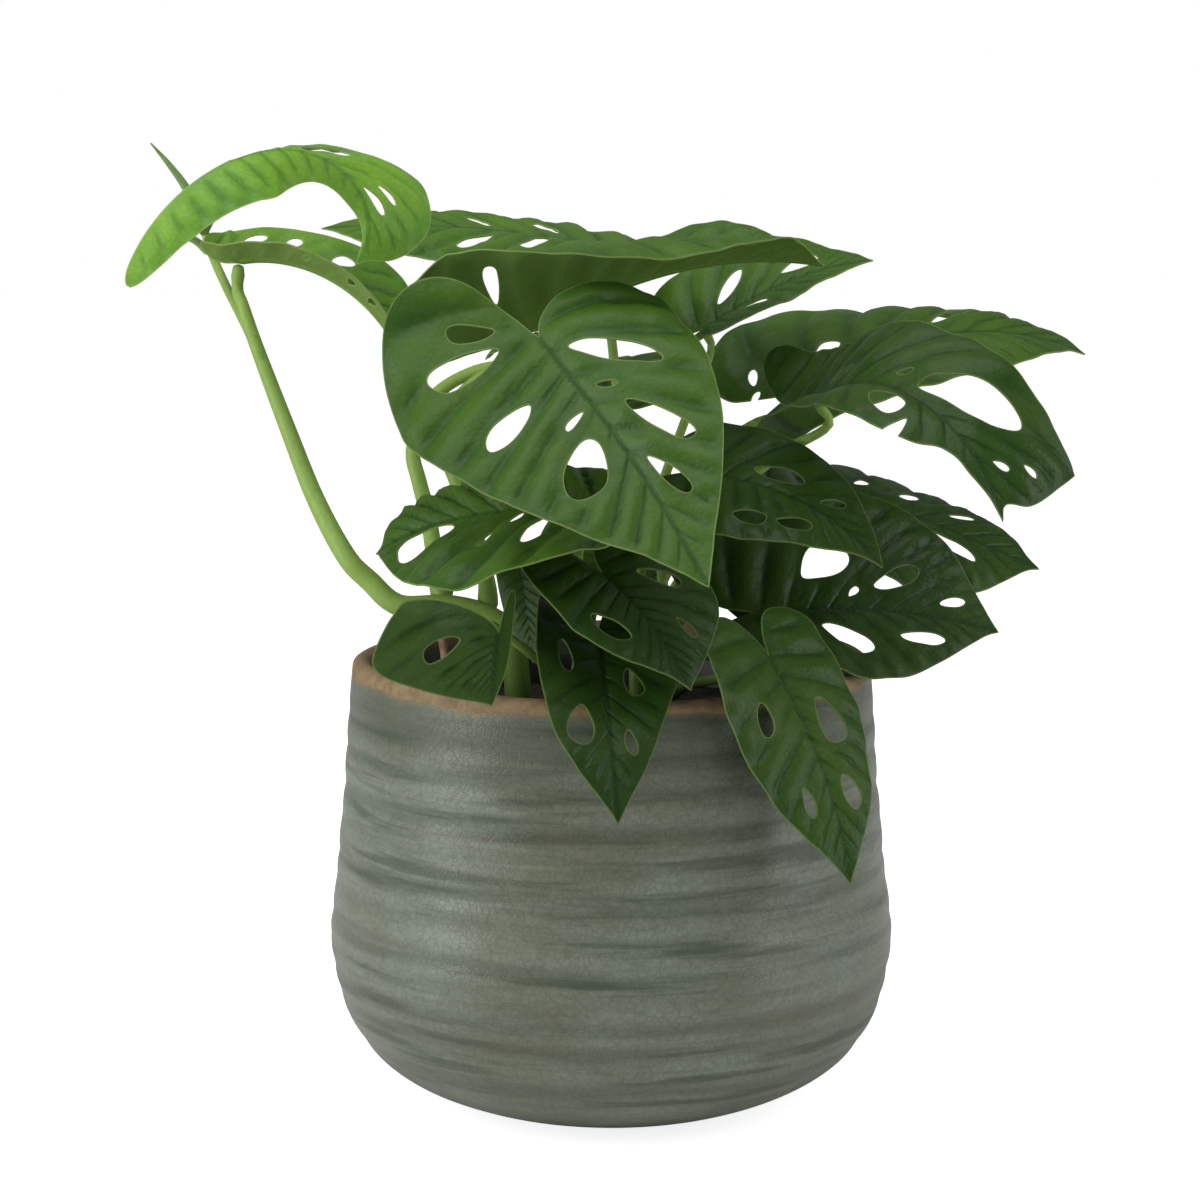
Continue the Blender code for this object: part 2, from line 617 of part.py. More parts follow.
def soil_radius(z):
    low = LINER_FOOT - 2 - LINER_WALL
    high = LINER_RADIUS - LINER_WALL
    return lerp(low, high, (z - LINER_FLOOR) / (LINER_TOP - LINER_FLOOR)) - SOIL_GAP * 1.5


def soil_height(x, y):
    return SOIL_TOP + SOIL_CROWN * max(0.0, 1 - (x * x + y * y) / soil_radius(SOIL_TOP) ** 2)


def ring(x, y, radius, count):
    turns = [2 * math.pi * i / count for i in range(count)]
    return [Vector((x + radius * math.cos(t), y + radius * math.sin(t))) for t in turns]


def make_soil():
    """Soil that fills the nursery pot, with a plain round hole for each stem."""
    rim = soil_radius(SOIL_TOP)
    loops = [ring(0, 0, rim, SOIL_SIDES)]
    rooted = [(s.limbs[0].points[0], s.limbs[0].start_radius) for s in STEMS]
    rooted += [(STICK[0], STICK_RADIUS), (SHEATH[0], SHEATH_RADIUS)]
    for (x, y, _), radius in rooted:
        loops.append(ring(x, y, radius + STEM_GAP, 12))
    verts = [p for loop in loops for p in loop]
    borders = []
    start = 0
    for loop in loops:
        borders.append(list(range(start, start + len(loop))))
        start += len(loop)
    for radius, count in ((50, 14), (30, 9), (12, 4)):
        for p in ring(0, 0, radius, count):
            if all(clearance(p, loop) > 5 for loop in loops[1:]):
                verts.append(p)
    result = delaunay_2d_cdt(verts, [], borders, 1, 1e-5, True)
    faces = [tuple(f) for f, source in zip(result[2], result[5]) if source == [0]]
    points = [Vector((p.x, p.y, soil_height(p.x, p.y))) for p in result[0]]
    place = {}
    for i, sources in enumerate(result[3]):
        for source in sources:
            place[source] = i
    taper = soil_radius(LINER_FLOOR) / rim
    for n, border in enumerate(borders):
        top = [place[i] for i in border]
        floor = LINER_FLOOR + SOIL_GAP if n == 0 else SOIL_TOP - SOIL_HOLE_DEPTH
        scale = taper if n == 0 else 1.0
        first = len(points)
        points += [Vector((points[i].x * scale, points[i].y * scale, floor)) for i in top]
        size = len(top)
        for i in range(size):
            j = (i + 1) % size
            faces += [(top[i], top[j], first + j), (top[i], first + j, first + i)]
        faces.append(tuple(range(first, first + size)))
    return add_object("soil", points, faces, (0.022, 0.015, 0.010), 0.95)


def make_rod(name, path, radii, colour):
    curve = resampled(spline(path, 8), STEM_STEP)
    last = len(curve) - 1
    sizes = []
    for i in range(last + 1):
        place = i / last * (len(radii) - 1)
        k = min(int(place), len(radii) - 2)
        sizes.append(lerp(radii[k], radii[k + 1], place - k))
    verts, faces = tube(curve, sizes, STEM_SIDES)
    return add_object(name, verts, faces, colour, 0.6)


def main():
    for obj in list(bpy.data.objects):
        bpy.data.objects.remove(obj)
    leaves = {leaf.name: leaf for leaf in LEAVES}
    make_pot()
    make_liner()
    make_soil()
    for stem in STEMS:
        make_stem(stem, leaves)
    for leaf in LEAVES:
        make_leaf(leaf)
    make_rod("dry_stick", STICK, (STICK_RADIUS, STICK_RADIUS), (0.25, 0.16, 0.09))
    make_rod("sheath", SHEATH, (SHEATH_RADIUS, 1.0), (0.45, 0.40, 0.22))
    make_rod("shoot", SHOOT, SHOOT_RADII, FRESH_GREEN)


main()
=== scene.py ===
"""Looks of a potted Monstera adansonii: quilted blades with real holes, vines, soil and a glazed pot.

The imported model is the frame. Blades, vines, soil and pot are finer pieces that stand for its nodes, in the
same places and with the same forms. Numbers in the tables are millimetres and degrees.
"""
import math
from collections import namedtuple

import bmesh
import bpy
from bpy.props import FloatProperty, FloatVectorProperty, IntProperty, PointerProperty
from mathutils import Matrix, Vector, kdtree, noise
from mathutils.geometry import delaunay_2d_cdt


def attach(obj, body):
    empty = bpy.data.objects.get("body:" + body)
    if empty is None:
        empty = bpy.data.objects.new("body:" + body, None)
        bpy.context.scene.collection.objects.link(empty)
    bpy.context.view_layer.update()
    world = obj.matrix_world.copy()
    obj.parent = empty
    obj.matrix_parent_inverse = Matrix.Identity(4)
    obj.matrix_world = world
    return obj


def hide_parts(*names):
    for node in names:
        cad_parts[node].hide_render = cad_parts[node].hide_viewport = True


bl_info = {
    "name": "Potted Monstera adansonii",
    "version": (1, 0, 0),
    "blender": (4, 5, 0),
    "location": "View3D > Sidebar > Monstera",
    "description": "Builds the blades, vines, soil and glazed pot over the packed model",
    "category": "Add Mesh",
}

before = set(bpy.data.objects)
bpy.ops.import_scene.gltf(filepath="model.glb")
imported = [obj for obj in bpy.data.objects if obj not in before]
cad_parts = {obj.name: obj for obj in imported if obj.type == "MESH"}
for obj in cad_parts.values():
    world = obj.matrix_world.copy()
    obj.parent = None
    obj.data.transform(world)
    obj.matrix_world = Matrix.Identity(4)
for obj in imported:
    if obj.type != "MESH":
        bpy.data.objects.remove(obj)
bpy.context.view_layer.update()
MM = 0.001

# Forms shared by every blade, as shares of the lobe, the half width and the way to the tip
LOBE_SHAPE = ((-0.45, 0.08), (-0.88, 0.26), (-1.0, 0.5), (-0.8, 0.76), (-0.25, 0.94))
FLANK_SHAPE = ((0.40, 0.86), (0.66, 0.55), (0.84, 0.25))
TIP_START = (0.955, 0.075)
# Length of a lobe that takes the full drop, steps of midribs and curves, and a petiole's bent neck
LOBE_REACH = 30.0
SPINE_STEPS = 90
CURVE_STEPS = 10
NECK = 7.0

# Where lateral veins leave the midrib: slope at the base, what is added by the tip, and their bend
VEIN_SLOPE = 0.15
VEIN_SLOPE_GAIN = 2.0
VEIN_BEND = 0.3
# Space between two lateral veins as a share of the blade, and the least space that gets a vein
VEIN_SHARE = 0.1
VEIN_LEAST = 0.4
# Veins counted on before the first hole and after the last one
VEINS_BEFORE = 6
VEINS_AFTER = 12
# Width of the thin pale margin, steps along it and between the points of its search tree
MARGIN_WIDTH = 0.45
MARGIN_STEP = 1.3
MARGIN_DOTS = 0.4
# Holes: step along the rim, waviness along, blunt outer end and lean
HOLE_STEP = 1.1
HOLE_WAVE = 0.05
HOLE_BLUNT = 0.28
HOLE_LEAN = 0.07
# Mesh of the blades: height of a row of triangles and least space to a margin, as shares of a step,
# and the least space between the points beside a margin and the midrib
ROW_SHARE = 0.87
ROW_SPACE = 0.55
RIB_SPACE = 0.6
# Relief of the blades: shape and depth of the bulges, length of the waves and how far in they
# reach, depth of the groove over the midrib and its half width, share lost by the tip
BULGE_POWER = 0.7
BULGE_DROP = 0.6
RIPPLE_LENGTH = 11
RIPPLE_REACH = 9.0
GROOVE_DEPTH = 0.4
MIDRIB_WIDTH = 1.6
MIDRIB_TAPER = 0.8
# Width of the blade that takes the full height of its bulges
BROAD_BLADE = 80
# Where relief starts and is full, away from the midrib or the margin
MIDRIB_FADE = (0.5, 5.0)
SWELL_FADE = (-4.0, 12.0)
MARGIN_FADE = (0.0, 6.0)
RIPPLE_FADE = (2.0, 16.0)
GROOVE_FADE = (0.0, 3.0)
# Numbers that every point of a blade gives its material: count of veins, distance from the midrib
# and from the margin, and 1 on the underside
BLADE_DATA = ("rank", "across", "edge", "under")
# Unevenness of the blades: size, seed and height
UNEVENNESS = ((22, 0, 1.4), (6, 5, 0.45))
# Limbs: share of the radius at the joint, swelling after it and its loss, and their lengths
JOINT_THIN = 0.55
JOINT_SWELL = 0.7
JOINT_LOSS = 0.25
JOINT_LENGTH = 5
JOINT_END = 16
# Swelling of a petiole close to its blade, and its length
KNEE_SWELL = 0.18
KNEE_LENGTH = 5
# Small rings of a domed end: rise and size as shares of the radius
DOME = ((0.35, 0.8), (0.55, 0.4))

Half = namedtuple("Half", "width lobe widest fullness fold tip_fold curl tip_curl")
Leaf = namedtuple("Leaf", "name base heading pitch roll length droop droop_power "
                          "sweep twist lobe_drop tone pucker left right holes")
Limb = namedtuple("Limb", "leaf start_radius end_radius points")

# The same blades as in the solids. Heading 0 points to +X and 90 to +Y. A hole runs from its inner
# end to its outer end, along and across the flat blade, and its last number is its width. The tone
# goes from 0 for the darkest green to 1 and more for young and pale, and a pucker above 1 bulges more.
# The tone is partly each blade's own age and partly painted light: blades low and deep in the plant
# get low tones as painted shade, and the topmost, best lit blades get high tones as painted light.
LEAVES = (
    Leaf("leaf_front", (-21, -51, 238), -50, -35, 50, 98, 15, 1.3, 0, -5, -45, 0.42, 1,
         Half(42, 11, 0.1, 0.9, 5, 15, -70, -30), Half(49, 26, 0.1, 0.9, 10, 25, -5, -10),
         ((-9, -10, -13, -23, 5), (-3, -12, -4, -34, 7), (19, -15, 26, -32, 8), (31, -4, 34, -11, 2.5),
          (40, -6, 57, -19, 12), (9, 5, 29, 24, 7), (26, 4, 30, 9, 2), (37, 8, 57, 18, 6),
          (55, 4, 71, 9, 4))),
    Leaf("leaf_top_left", (-111, -36, 288), 40, 20, 15, 69, 150, 1.5, -45, 70, 20, 1.7, 1.3,
         Half(36, 4, 0.45, 1.25, -48, -4, -20, -40), Half(16, 54, 0.1, 0.55, -20, -60, -20, -15),
         ((10, 8, 20, 20, 6), (27, 9, 38, 22, 6), (45, 3, 54, 6, 3), (47, 9, 52, 12, 2.5))),
    Leaf("leaf_left_fold", (-117, 28, 257), 0, 15, 5, 72, 89, 0.8, -5, 10, -140, 1.2, 1,
         Half(19, 17, 0.35, 1.25, 28, 30, -5, -5), Half(8, 15, 0.4, 1.35, 65, 30, -10, 10),
         ((1, 7, 8, 13, 5), (14, 8, 17, 14, 4), (28, 7, 33, 12, 5), (21, -3, 22, -6, 2),
          (36, -3, 37, -6, 3), (44, -3, 46, -7, 3))),
    Leaf("leaf_back", (-2, 72, 261), 180, 10, -15, 93, 15, 1.3, 0, -5, 10, 0.7, 1.4,
         Half(36, 18, 0.25, 1.0, 15, -5, -10, -20), Half(26, 18, 0.25, 1.0, 0, 5, -15, -25),
         ((18, 8, 26, 22, 6), (37, 7, 47, 20, 6), (60, 5, 68, 11, 3), (16, -6, 24, -16, 5),
          (38, -5, 46, -13, 4))),
    Leaf("leaf_mid_upper", (-24, 1, 237), -15, 30, 5, 93, 40, 1.3, 20, 5, 10, 0.5, 1,
         Half(38, 22, 0.3, 0.95, 10, 35, -20, -25), Half(51, 33, 0.3, 0.93, 50, 55, -20, -150),
         ((-2, -17, 5, -35, 4), (10, 8, 22, 24, 7), (30, 8, 46, 22, 7), (54, 7, 66, 14, 5))),
    Leaf("leaf_top_right", (29, 31, 236), 0, 35, 25, 58, 30, 1.3, 0, 0, 10, 0.5, 1,
         Half(31, 12, 0.25, 1.0, 15, 5, -10, -20), Half(16, 12, 0.25, 1.0, 20, 5, -5, -15),
         ((8, 6, 19, 17, 5), (30, 6, 42, 9, 6), (13, -5, 22, -9, 3))),
    Leaf("leaf_right_back", (60, 43, 216), 10, 30, 25, 100, 55, 1.3, 0, 0, 10, 0.45, 1,
         Half(45, 20, 0.25, 1.0, 10, 5, -10, -105), Half(32, 24, 0.25, 1.05, 15, 5, -10, -25),
         ((9, 7, 20, 13, 6), (-10, 12, -7, 19, 3), (-15, 5, -10, 9, 2.5), (50, 8, 64, 18, 5),
          (15, -7, 26, -18, 6), (38, -7, 52, -15, 6))),
    Leaf("leaf_right_front", (61, -16, 217), -65, 25, 30, 97, 100, 1.2, 30, 5, -35, 0.2, 1,
         Half(28, 52, 0.85, 1.35, 20, 0, -10, -25), Half(16, 4, 0.55, 0.45, 20, 5, -10, -20),
         ((46, 4, 74, 17, 11), (36, -5, 51, -8, 8), (5, 5, 14, 9, 2.5), (37, 5, 41, 8, 2.5),
          (55, -9, 57, -24, 6), (80, 4, 84, 7, 2), (84, 12, 88, 14, 2))),
    Leaf("leaf_right_mid", (27, -22, 196), -25, -5, 30, 64, 45, 1.3, 5, -5, 10, 0.22, 1,
         Half(26, 14, 0.2, 0.9, 5, 5, -10, -15), Half(26, 16, 0.25, 0.95, 5, 10, -20, -20),
         ((14, 6, 29, 8, 6), (37, 4, 43, 9, 3), (18, -17, 28, -14, 6), (31, -13, 41, -9, 6))),
    Leaf("leaf_right_low", (43, -19, 153), 10, 5, 45, 78, 25, 1.3, 0, 15, 15, 0.15, 1,
         Half(46, 20, 0.25, 1.05, 10, 10, -10, -50), Half(29, 15, 0.3, 0.95, 30, -5, 5, -30),
         ((17, 11, 30, 21, 11), (30, 4, 33, 7, 2), (38, 7, 51, 14, 6), (58, 4, 66, 7, 3),
          (19, -9, 35, -16, 8), (45, -9, 60, -8, 4))),
    Leaf("leaf_right_far", (58, 49, 190), 5, -20, 25, 89, 5, 1.3, 0, 15, 10, 0.25, 1,
         Half(34, 16, 0.3, 1.1, -5, 5, -25, -70), Half(39, 16, 0.3, 1.05, 15, -5, -10, -20),
         ((22, 5, 27, 9, 3), (38, 7, 45, 13, 4), (56, 8, 65, 12, 3), (46, -6, 66, -9, 6),
          (15, -8, 28, -22, 6))),
    Leaf("leaf_low_mid", (-3, -68, 172), -40, -30, 20, 45, 30, 1.3, 0, -10, 10, 0.09, 1,
         Half(26, 12, 0.25, 1.05, 15, 5, -15, -20), Half(25, 19, 0.25, 1.0, 15, 10, -10, -25),
         ((13, -16, 25, -11, 7), (24, 8, 31, 10, 3), (6, 8, 15, 17, 4))),
    Leaf("leaf_low_front", (-4, -60, 154), -85, -30, -5, 66, 40, 1.3, 5, 0, 10, 0.12, 1,
         Half(22, 14, 0.25, 0.8, 15, 5, -10, -20), Half(20, 16, 0.25, 1.0, 20, 5, -5, -20),
         ((31, -8, 43, -9, 7), (38, 5, 46, 6, 3), (17, 7, 27, 9, 5), (8, -12, 20, -11, 4))),
    Leaf("leaf_low_right", (45, -60, 147), -45, -50, 15, 71, 30, 1.3, 0, 5, 10, 0.25, 1,
         Half(21, 14, 0.25, 0.9, 5, 5, -15, -30), Half(25, 14, 0.25, 0.95, 20, 0, -10, -25),
         ((14, -12, 24, -14, 5), (17, 8, 31, 9, 8), (40, 6, 50, 7, 5), (41, -8, 50, -7, 3))),
    Leaf("leaf_low_left", (-32, -81, 157), -125, -75, -50, 21, 15, 1.3, 0, 0, 15, 0.3, 1.8,
         Half(4, 13, 0.25, 0.95, 15, 5, -10, -20), Half(36, 5, 0.35, 1.1, 20, 0, 0, -15),
         ((4, -12, 9, -22, 5),)),
    Leaf("leaf_mid_left", (-9, -47, 189), 180, -3, -30, 68, 30, 1.6, -35, -10, 10, 0.45, 1.7,
         Half(45, 17, 0.3, 0.9, 25, 10, -10, -25), Half(24, 14, 0.45, 1.7, 10, 25, -35, -85),
         ((38, 3, 53, 14, 14), (24, 15, 26, 22, 3), (8, 13, 13, 30, 5), (16, 5, 18, 14, 2.5))),
    Leaf("leaf_inner", (36, 16, 176), 0, -60, 75, 46, -20, 1.3, 0, 5, 10, 0.05, 1,
         Half(7, 8, 0.25, 1.2, 10, 5, -15, -20), Half(16, 8, 0.25, 1.0, 15, 5, -10, -20),
         ((12, -5, 20, -9, 3),)),
    Leaf("leaf_edge", (-27, -44, 172), -60, -70, 60, 30, 10, 1.3, 0, 0, 10, 0.3, 1,
         Half(8, 5, 0.3, 1.0, 15, 5, -10, -20), Half(8, 5, 0.3, 1.0, 15, 5, -10, -20),
         ()),
    Leaf("leaf_rear_high", (-2, 72, 214), 90, 20, 0, 82, 60, 1.3, 0, 0, 10, 0.4, 1,
         Half(28, 18, 0.25, 1.0, 15, 5, -10, -20), Half(28, 18, 0.25, 1.0, 15, 5, -10, -20),
         ((10, 7, 20, 18, 6), (30, 7, 43, 17, 6), (52, 5, 62, 9, 4), (12, -7, 22, -18, 6),
          (33, -7, 45, -16, 6))),
    Leaf("leaf_rear_low", (0, 56, 158), 80, 25, 0, 76, 60, 1.3, 0, 0, 10, 0.25, 1,
         Half(26, 16, 0.25, 1.0, 15, 5, -10, -20), Half(26, 16, 0.25, 1.0, 15, 5, -10, -20),
         ((10, 7, 19, 17, 5), (29, 6, 41, 15, 6), (11, -7, 20, -17, 5), (31, -6, 43, -14, 5))),
)

# The same vines as in the solids: the leaf that a limb carries, its radii and its points
VINES = {
    "vine_left": (
        Limb("leaf_left_fold", 4.4, 1.8,
             ((-28, -28, 98), (-28, -28, 113), (-28, -28, 128), (-30, -28, 146), (-37, -26, 153),
              (-49, -24, 156), (-64, -22, 156), (-73, -19, 163), (-80, -17, 170), (-90, -6, 186),
              (-99, 4, 206), (-110, 18, 231), (-115, 24, 244))),
        Limb(None, 1.6, 1.3,
             ((-107, 14, 225), (-111, 18, 233), (-116, 26, 241), (-123, 44, 250), (-129, 54, 261),
              (-131, 56, 268), (-134, 56, 275))),
        Limb("leaf_top_left", 1.3, 0.8,
             ((-128, 52, 259), (-131, 32, 264), (-134, -10, 269), (-128, -36, 275), (-119, -39, 279))),
        Limb("leaf_mid_upper", 2.9, 1.5,
             ((-50, -24, 156), (-53, -14, 166), (-56, -2, 180), (-59, 1, 191), (-61, 5, 201),
              (-56, 12, 215), (-42, 13, 224))),
        Limb("leaf_front", 2.6, 1.7,
             ((-37, -26, 153), (-38, -16, 164), (-43, -3, 180), (-48, 1, 192), (-51, 2, 202),
              (-47, -6, 216), (-35, -24, 227))),
    ),
    "vine_front": (
        Limb("leaf_mid_left", 2.2, 1.2,
             ((-8, -30, 98), (-8, -30, 113), (-8, -30, 128), (-9, -30, 150), (-10, -34, 172))),
        Limb("leaf_low_front", 1.8, 1.1, ((-8, -30, 124), (-8, -36, 136), (-7, -46, 144))),
        Limb("leaf_low_mid", 1.6, 1.1, ((-8, -29, 130), (-7, -36, 148), (-5, -50, 161))),
        Limb("leaf_low_left", 1.6, 1.1, ((-8, -30, 123), (-14, -42, 136), (-23, -60, 147))),
        Limb("leaf_edge", 1.5, 1.1, ((-8, -29, 140), (-14, -31, 156))),
    ),
    "vine_right": (
        Limb("leaf_right_mid", 2.4, 1.3,
             ((14, -14, 98), (14, -14, 113), (14, -14, 128), (15, -14, 155), (18, -14, 178))),
        Limb("leaf_right_low", 1.8, 1.2, ((14, -14, 124), (24, -12, 136), (34, -12, 144))),
        Limb("leaf_low_right", 1.8, 1.2, ((14, -14, 123), (22, -26, 132), (34, -44, 138))),
        Limb("leaf_right_front", 2.0, 1.3,
             ((15, -14, 160), (19, -12, 176), (28, -7, 187), (42, -3, 193), (53, -5, 201))),
    ),
    "vine_back": (
        Limb("leaf_back", 2.6, 1.3,
             ((8, 26, 98), (8, 26, 113), (8, 26, 128), (6, 38, 170), (2, 54, 215), (-1, 66, 243))),
        Limb("leaf_inner", 1.6, 1.1, ((8, 26, 130), (16, 26, 148), (26, 22, 165))),
        Limb("leaf_right_far", 1.9, 1.2, ((8, 26, 126), (26, 36, 148), (44, 48, 170))),
        Limb("leaf_right_back", 2.0, 1.3, ((8, 28, 138), (20, 36, 165), (31, 42, 192), (46, 46, 205))),
        Limb("leaf_top_right", 1.9, 1.2, ((7, 30, 150), (14, 30, 180), (25, 30, 212))),
        Limb("leaf_rear_high", 1.9, 1.2, ((6, 38, 168), (2, 50, 188), (-1, 62, 202))),
        Limb("leaf_rear_low", 1.8, 1.2, ((8, 27, 126), (6, 37, 139), (1, 47, 148))),
    ),
}

# Dry stick, pale sheath and rolled shoot as paths with their radii
STICK = ((-47, -36, 114), (-47, -36, 126), (-50, -40, 150))
STICK_RADII = (1.5, 1.5)
SHEATH = ((-13, -46, 114), (-13, -46, 126), (-10, -47, 146))
SHEATH_RADII = (1.4, 1.0)
SHOOT = ((-133.8, 56, 274.4), (-137, 56, 281), (-142, 55, 288), (-147, 54, 294))
SHOOT_RADII = (1.5, 1.3, 0.9, 0.25)

# Outside of the pot as height and radius, from the foot to the lip
POT_SIDE = ((0, 42), (4, 55), (11, 69), (20.5, 78.5), (34, 84.8), (52, 87.4),
            (71, 85.4), (96, 82.8), (116, 81.4), (134, 79.8))
POT_HEIGHT = 137.0
POT_WALL = 6.0
POT_FLOOR = 8.0
POT_FLOOR_RADIUS = 60.0
# Height up to which every point counts as outside, steps of the profile, and the uneven round lip
POT_FOOT = 25
PROFILE_STEPS = 12
PROFILE_STEP = 1.1
LIP_RADIUS = 3
LIP_STEPS = 12
LIP_START = 120
# Heights and strengths of the throwing rings, their width and the heights that they keep between
THROWING_RINGS = ((121, 0.6), (111, 0.8), (99, 1.0), (88.5, 0.5), (77, 0.9), (69, 0.5),
                  (57.5, 1.0), (50.5, 0.5), (42, 0.9), (34, 0.8), (21, 0.9))
RING_WIDTH = 2.6
RING_LOW = 3
RING_HIGH = 130
# How far the rings tilt and wander, how uneven the wall is and where that starts and is full
RING_TILT = 0.9
RING_WANDER = 1.3
WALL_UNEVEN = 0.35
FOOT_FADE = (2, 12)
# Sizes of the wander of the rings, the unevenness of the wall and the waves of the lip
WANDER_SIZE = 45
UNEVEN_SIZE = 30
LIP_WAVE_SIZE = 20
# Soil with its rise in the middle, its lumps and the number of its rings and segments
SOIL_BOTTOM = 104.0
SOIL_TOP = 117.0
SOIL_RADIUS = 67.3
SOIL_CROWN = 3.0
SOIL_RINGS = 34
SOIL_LUMP = 1.6
SOIL_LUMP_SIZE = 7
SOIL_SEGMENTS = 110
# Nursery pot as radius and height: its foot, its beaded rim and the top of its floor
LINER = ((0.0, 8.3), (57.5, 8.3), (58.5, 9.0), (69.6, 120), (72.5, 121), (72.5, 125), (72, 126),
         (69, 126), (68.5, 125), (67.9, 117), (56.8, 12.0), (0.0, 12.0))
LINER_SEGMENTS = 96

# Plain materials: dark and pale tone, grain, roughness and relief
PLAIN_LOOKS = {
    "Peat": ((0.006, 0.004, 0.003), (0.026, 0.018, 0.012), 500.0, 0.95, 1.0),
    "Black plastic": ((0.008, 0.008, 0.009), (0.020, 0.020, 0.021), 300.0, 0.5, 0.1),
    "Dry wood": ((0.16, 0.09, 0.05), (0.36, 0.24, 0.15), 260.0, 0.8, 0.5),
    "Dry sheath": ((0.34, 0.30, 0.15), (0.56, 0.50, 0.30), 260.0, 0.6, 0.4),
    "Young shoot": ((0.10, 0.20, 0.05), (0.20, 0.33, 0.10), 120.0, 0.4, 0.2),
}
# Small round pieces: sides, then for each its name, path, radii, look, node and slot
ROUND_SIDES = 12
SMALL_PIECES = (
    ("stick", STICK, STICK_RADII, "Dry wood", "dry_stick", "dry_wood"),
    ("old_sheath", SHEATH, SHEATH_RADII, "Dry sheath", "sheath", "dry_sheath"),
    ("rolled_shoot", SHOOT, SHOOT_RADII, "Young shoot", "shoot", "fresh_leaf"),
)

# Stage in metres: half the floor, the height that the lights aim at, and their sizes and places
FLOOR_HALF = 6.0
AIM_HEIGHT = 0.14
LIGHTS = (("top", (1.1, 1.1), (-0.15, -0.25, 1.25)),
          ("left", (0.5, 1.0), (-1.05, -0.45, 0.55)),
          ("right", (0.5, 1.0), (1.1, -0.35, 0.5)))
WHITE = (1, 1, 1, 1)
FLOOR_COLOUR = (0.9, 0.9, 0.9, 1.0)


def length_field(name, description, default):
    """Property that holds a size in metres."""
    return FloatProperty(name=name, description=description, default=default, unit="LENGTH",
                         precision=5)


def colour_field(name, description, default):
    """Property that holds a colour."""
    return FloatVectorProperty(name=name, description=description, default=default,
                               subtype="COLOR")


def power_field(name, description, default):
    """Property that holds the power of a lamp in watts."""
    return FloatProperty(name=name, description=description, default=default, unit="POWER")


class MonsteraBladeSettings(bpy.types.PropertyGroup):
    thickness: length_field("Thickness", "Thickness of a blade", 0.00045)
    step: length_field("Mesh step", "Distance between inner points of a blade", 0.0021)
    quilt: length_field("Quilting", "Height of the bulges between lateral veins", 0.0026)
    ripple: length_field("Ripple", "Height of the waves along the margin", 0.0007)
    midrib: length_field("Midrib", "Height of the midrib under the blade", 0.0009)
    # The dark and fresh ends also carry painted light: tones toward the dark end are painted shade on the low
    # and inner blades, and tones above 1 past the fresh end are painted light on the topmost blades.
    dark: colour_field("Dark leaf", "Upper side of the oldest blades", (0.007, 0.026, 0.003))
    fresh: colour_field("Fresh leaf", "Upper side of the youngest blades", (0.080, 0.200, 0.026))
    under: colour_field("Underside", "Underside of the blades", (0.150, 0.260, 0.045))
    margin: colour_field("Margin", "Thin pale margin", (0.36, 0.46, 0.14))


class MonsteraVineSettings(bpy.types.PropertyGroup):
    sides: IntProperty(name="Sides", description="Sides of a petiole", default=14, min=6)
    step: length_field("Mesh step", "Distance between rings of a petiole", 0.0025)
    green: colour_field("Petiole", "Light green of the petioles", (0.270, 0.430, 0.085))
    spots: colour_field("Spots", "Pale spots of the petioles", (0.36, 0.42, 0.16))
    low: colour_field("Low stem", "Shaded green close to the soil", (0.060, 0.120, 0.022))


class MonsteraPotSettings(bpy.types.PropertyGroup):
    segments: IntProperty(name="Segments", description="Segments around the pot", default=160, min=32)
    ring_depth: length_field("Ring depth", "Depth of the throwing rings", 0.0005)
    wobble: length_field("Wobble", "Hand-thrown unevenness of the lip", 0.0006)
    raw_height: length_field("Raw rim", "Height where the glaze ends", 0.1328)
    glaze: colour_field("Glaze", "Grey-green glaze", (0.168, 0.184, 0.128))
    glaze_deep_and_shade: colour_field("Glaze in rings", "Where the glaze pools", (0.050, 0.070, 0.042))
    # This colour is the glaze pooled in the rings, and also the painted shade on the top of the pot under the
    # leaves.
    glaze_pale: colour_field("Thin glaze", "Where the glaze is thin", (0.215, 0.250, 0.200))
    glaze_brown: colour_field("Brown glaze", "Where iron shows through", (0.125, 0.112, 0.075))
    crack: colour_field("Crackle", "Stain in the cracks of the glaze", (0.035, 0.037, 0.022))
    speck: colour_field("Speck", "Iron specks in the glaze", (0.03, 0.03, 0.02))
    clay: colour_field("Clay", "Raw clay of the lip", (0.290, 0.200, 0.100))
    clay_speck: colour_field("Clay speck", "Iron specks in the clay", (0.10, 0.06, 0.03))


class MonsteraStageSettings(bpy.types.PropertyGroup):
    camera_distance: length_field("Camera distance", "Camera to the pot's axis", 0.9)
    camera_side: length_field("Camera side", "Camera to the right of the axis", -0.0035)
    camera_height: length_field("Camera height", "Camera above the ground", 0.2844)
    tilt: FloatProperty(name="Tilt", description="Camera's tilt below the horizon",
                        default=math.radians(8.22), subtype="ANGLE")
    lens: FloatProperty(name="Lens", description="Focal length", default=88.53, unit="CAMERA")
    surround: FloatProperty(name="Surround", description="Soft light from all round", default=0.24)
    backdrop: FloatProperty(name="Backdrop", description="Brightness of the white backdrop",
                            default=1.0)
    ground: FloatProperty(name="Ground", description="Glow that makes the ground white",
                          default=0.82)
    top: power_field("Top light", "Power of the soft light above", 8.0)
    left: power_field("Left light", "Power of the soft light at the left", 8.0)
    right: power_field("Right light", "Power of the soft light at the right", 4.5)


# Curves and frames


def lerp(a, b, t):
    return a + (b - a) * t


def smooth(low, high, x):
    t = min(max((x - low) / (high - low), 0.0), 1.0)
    return t * t * (3 - 2 * t)


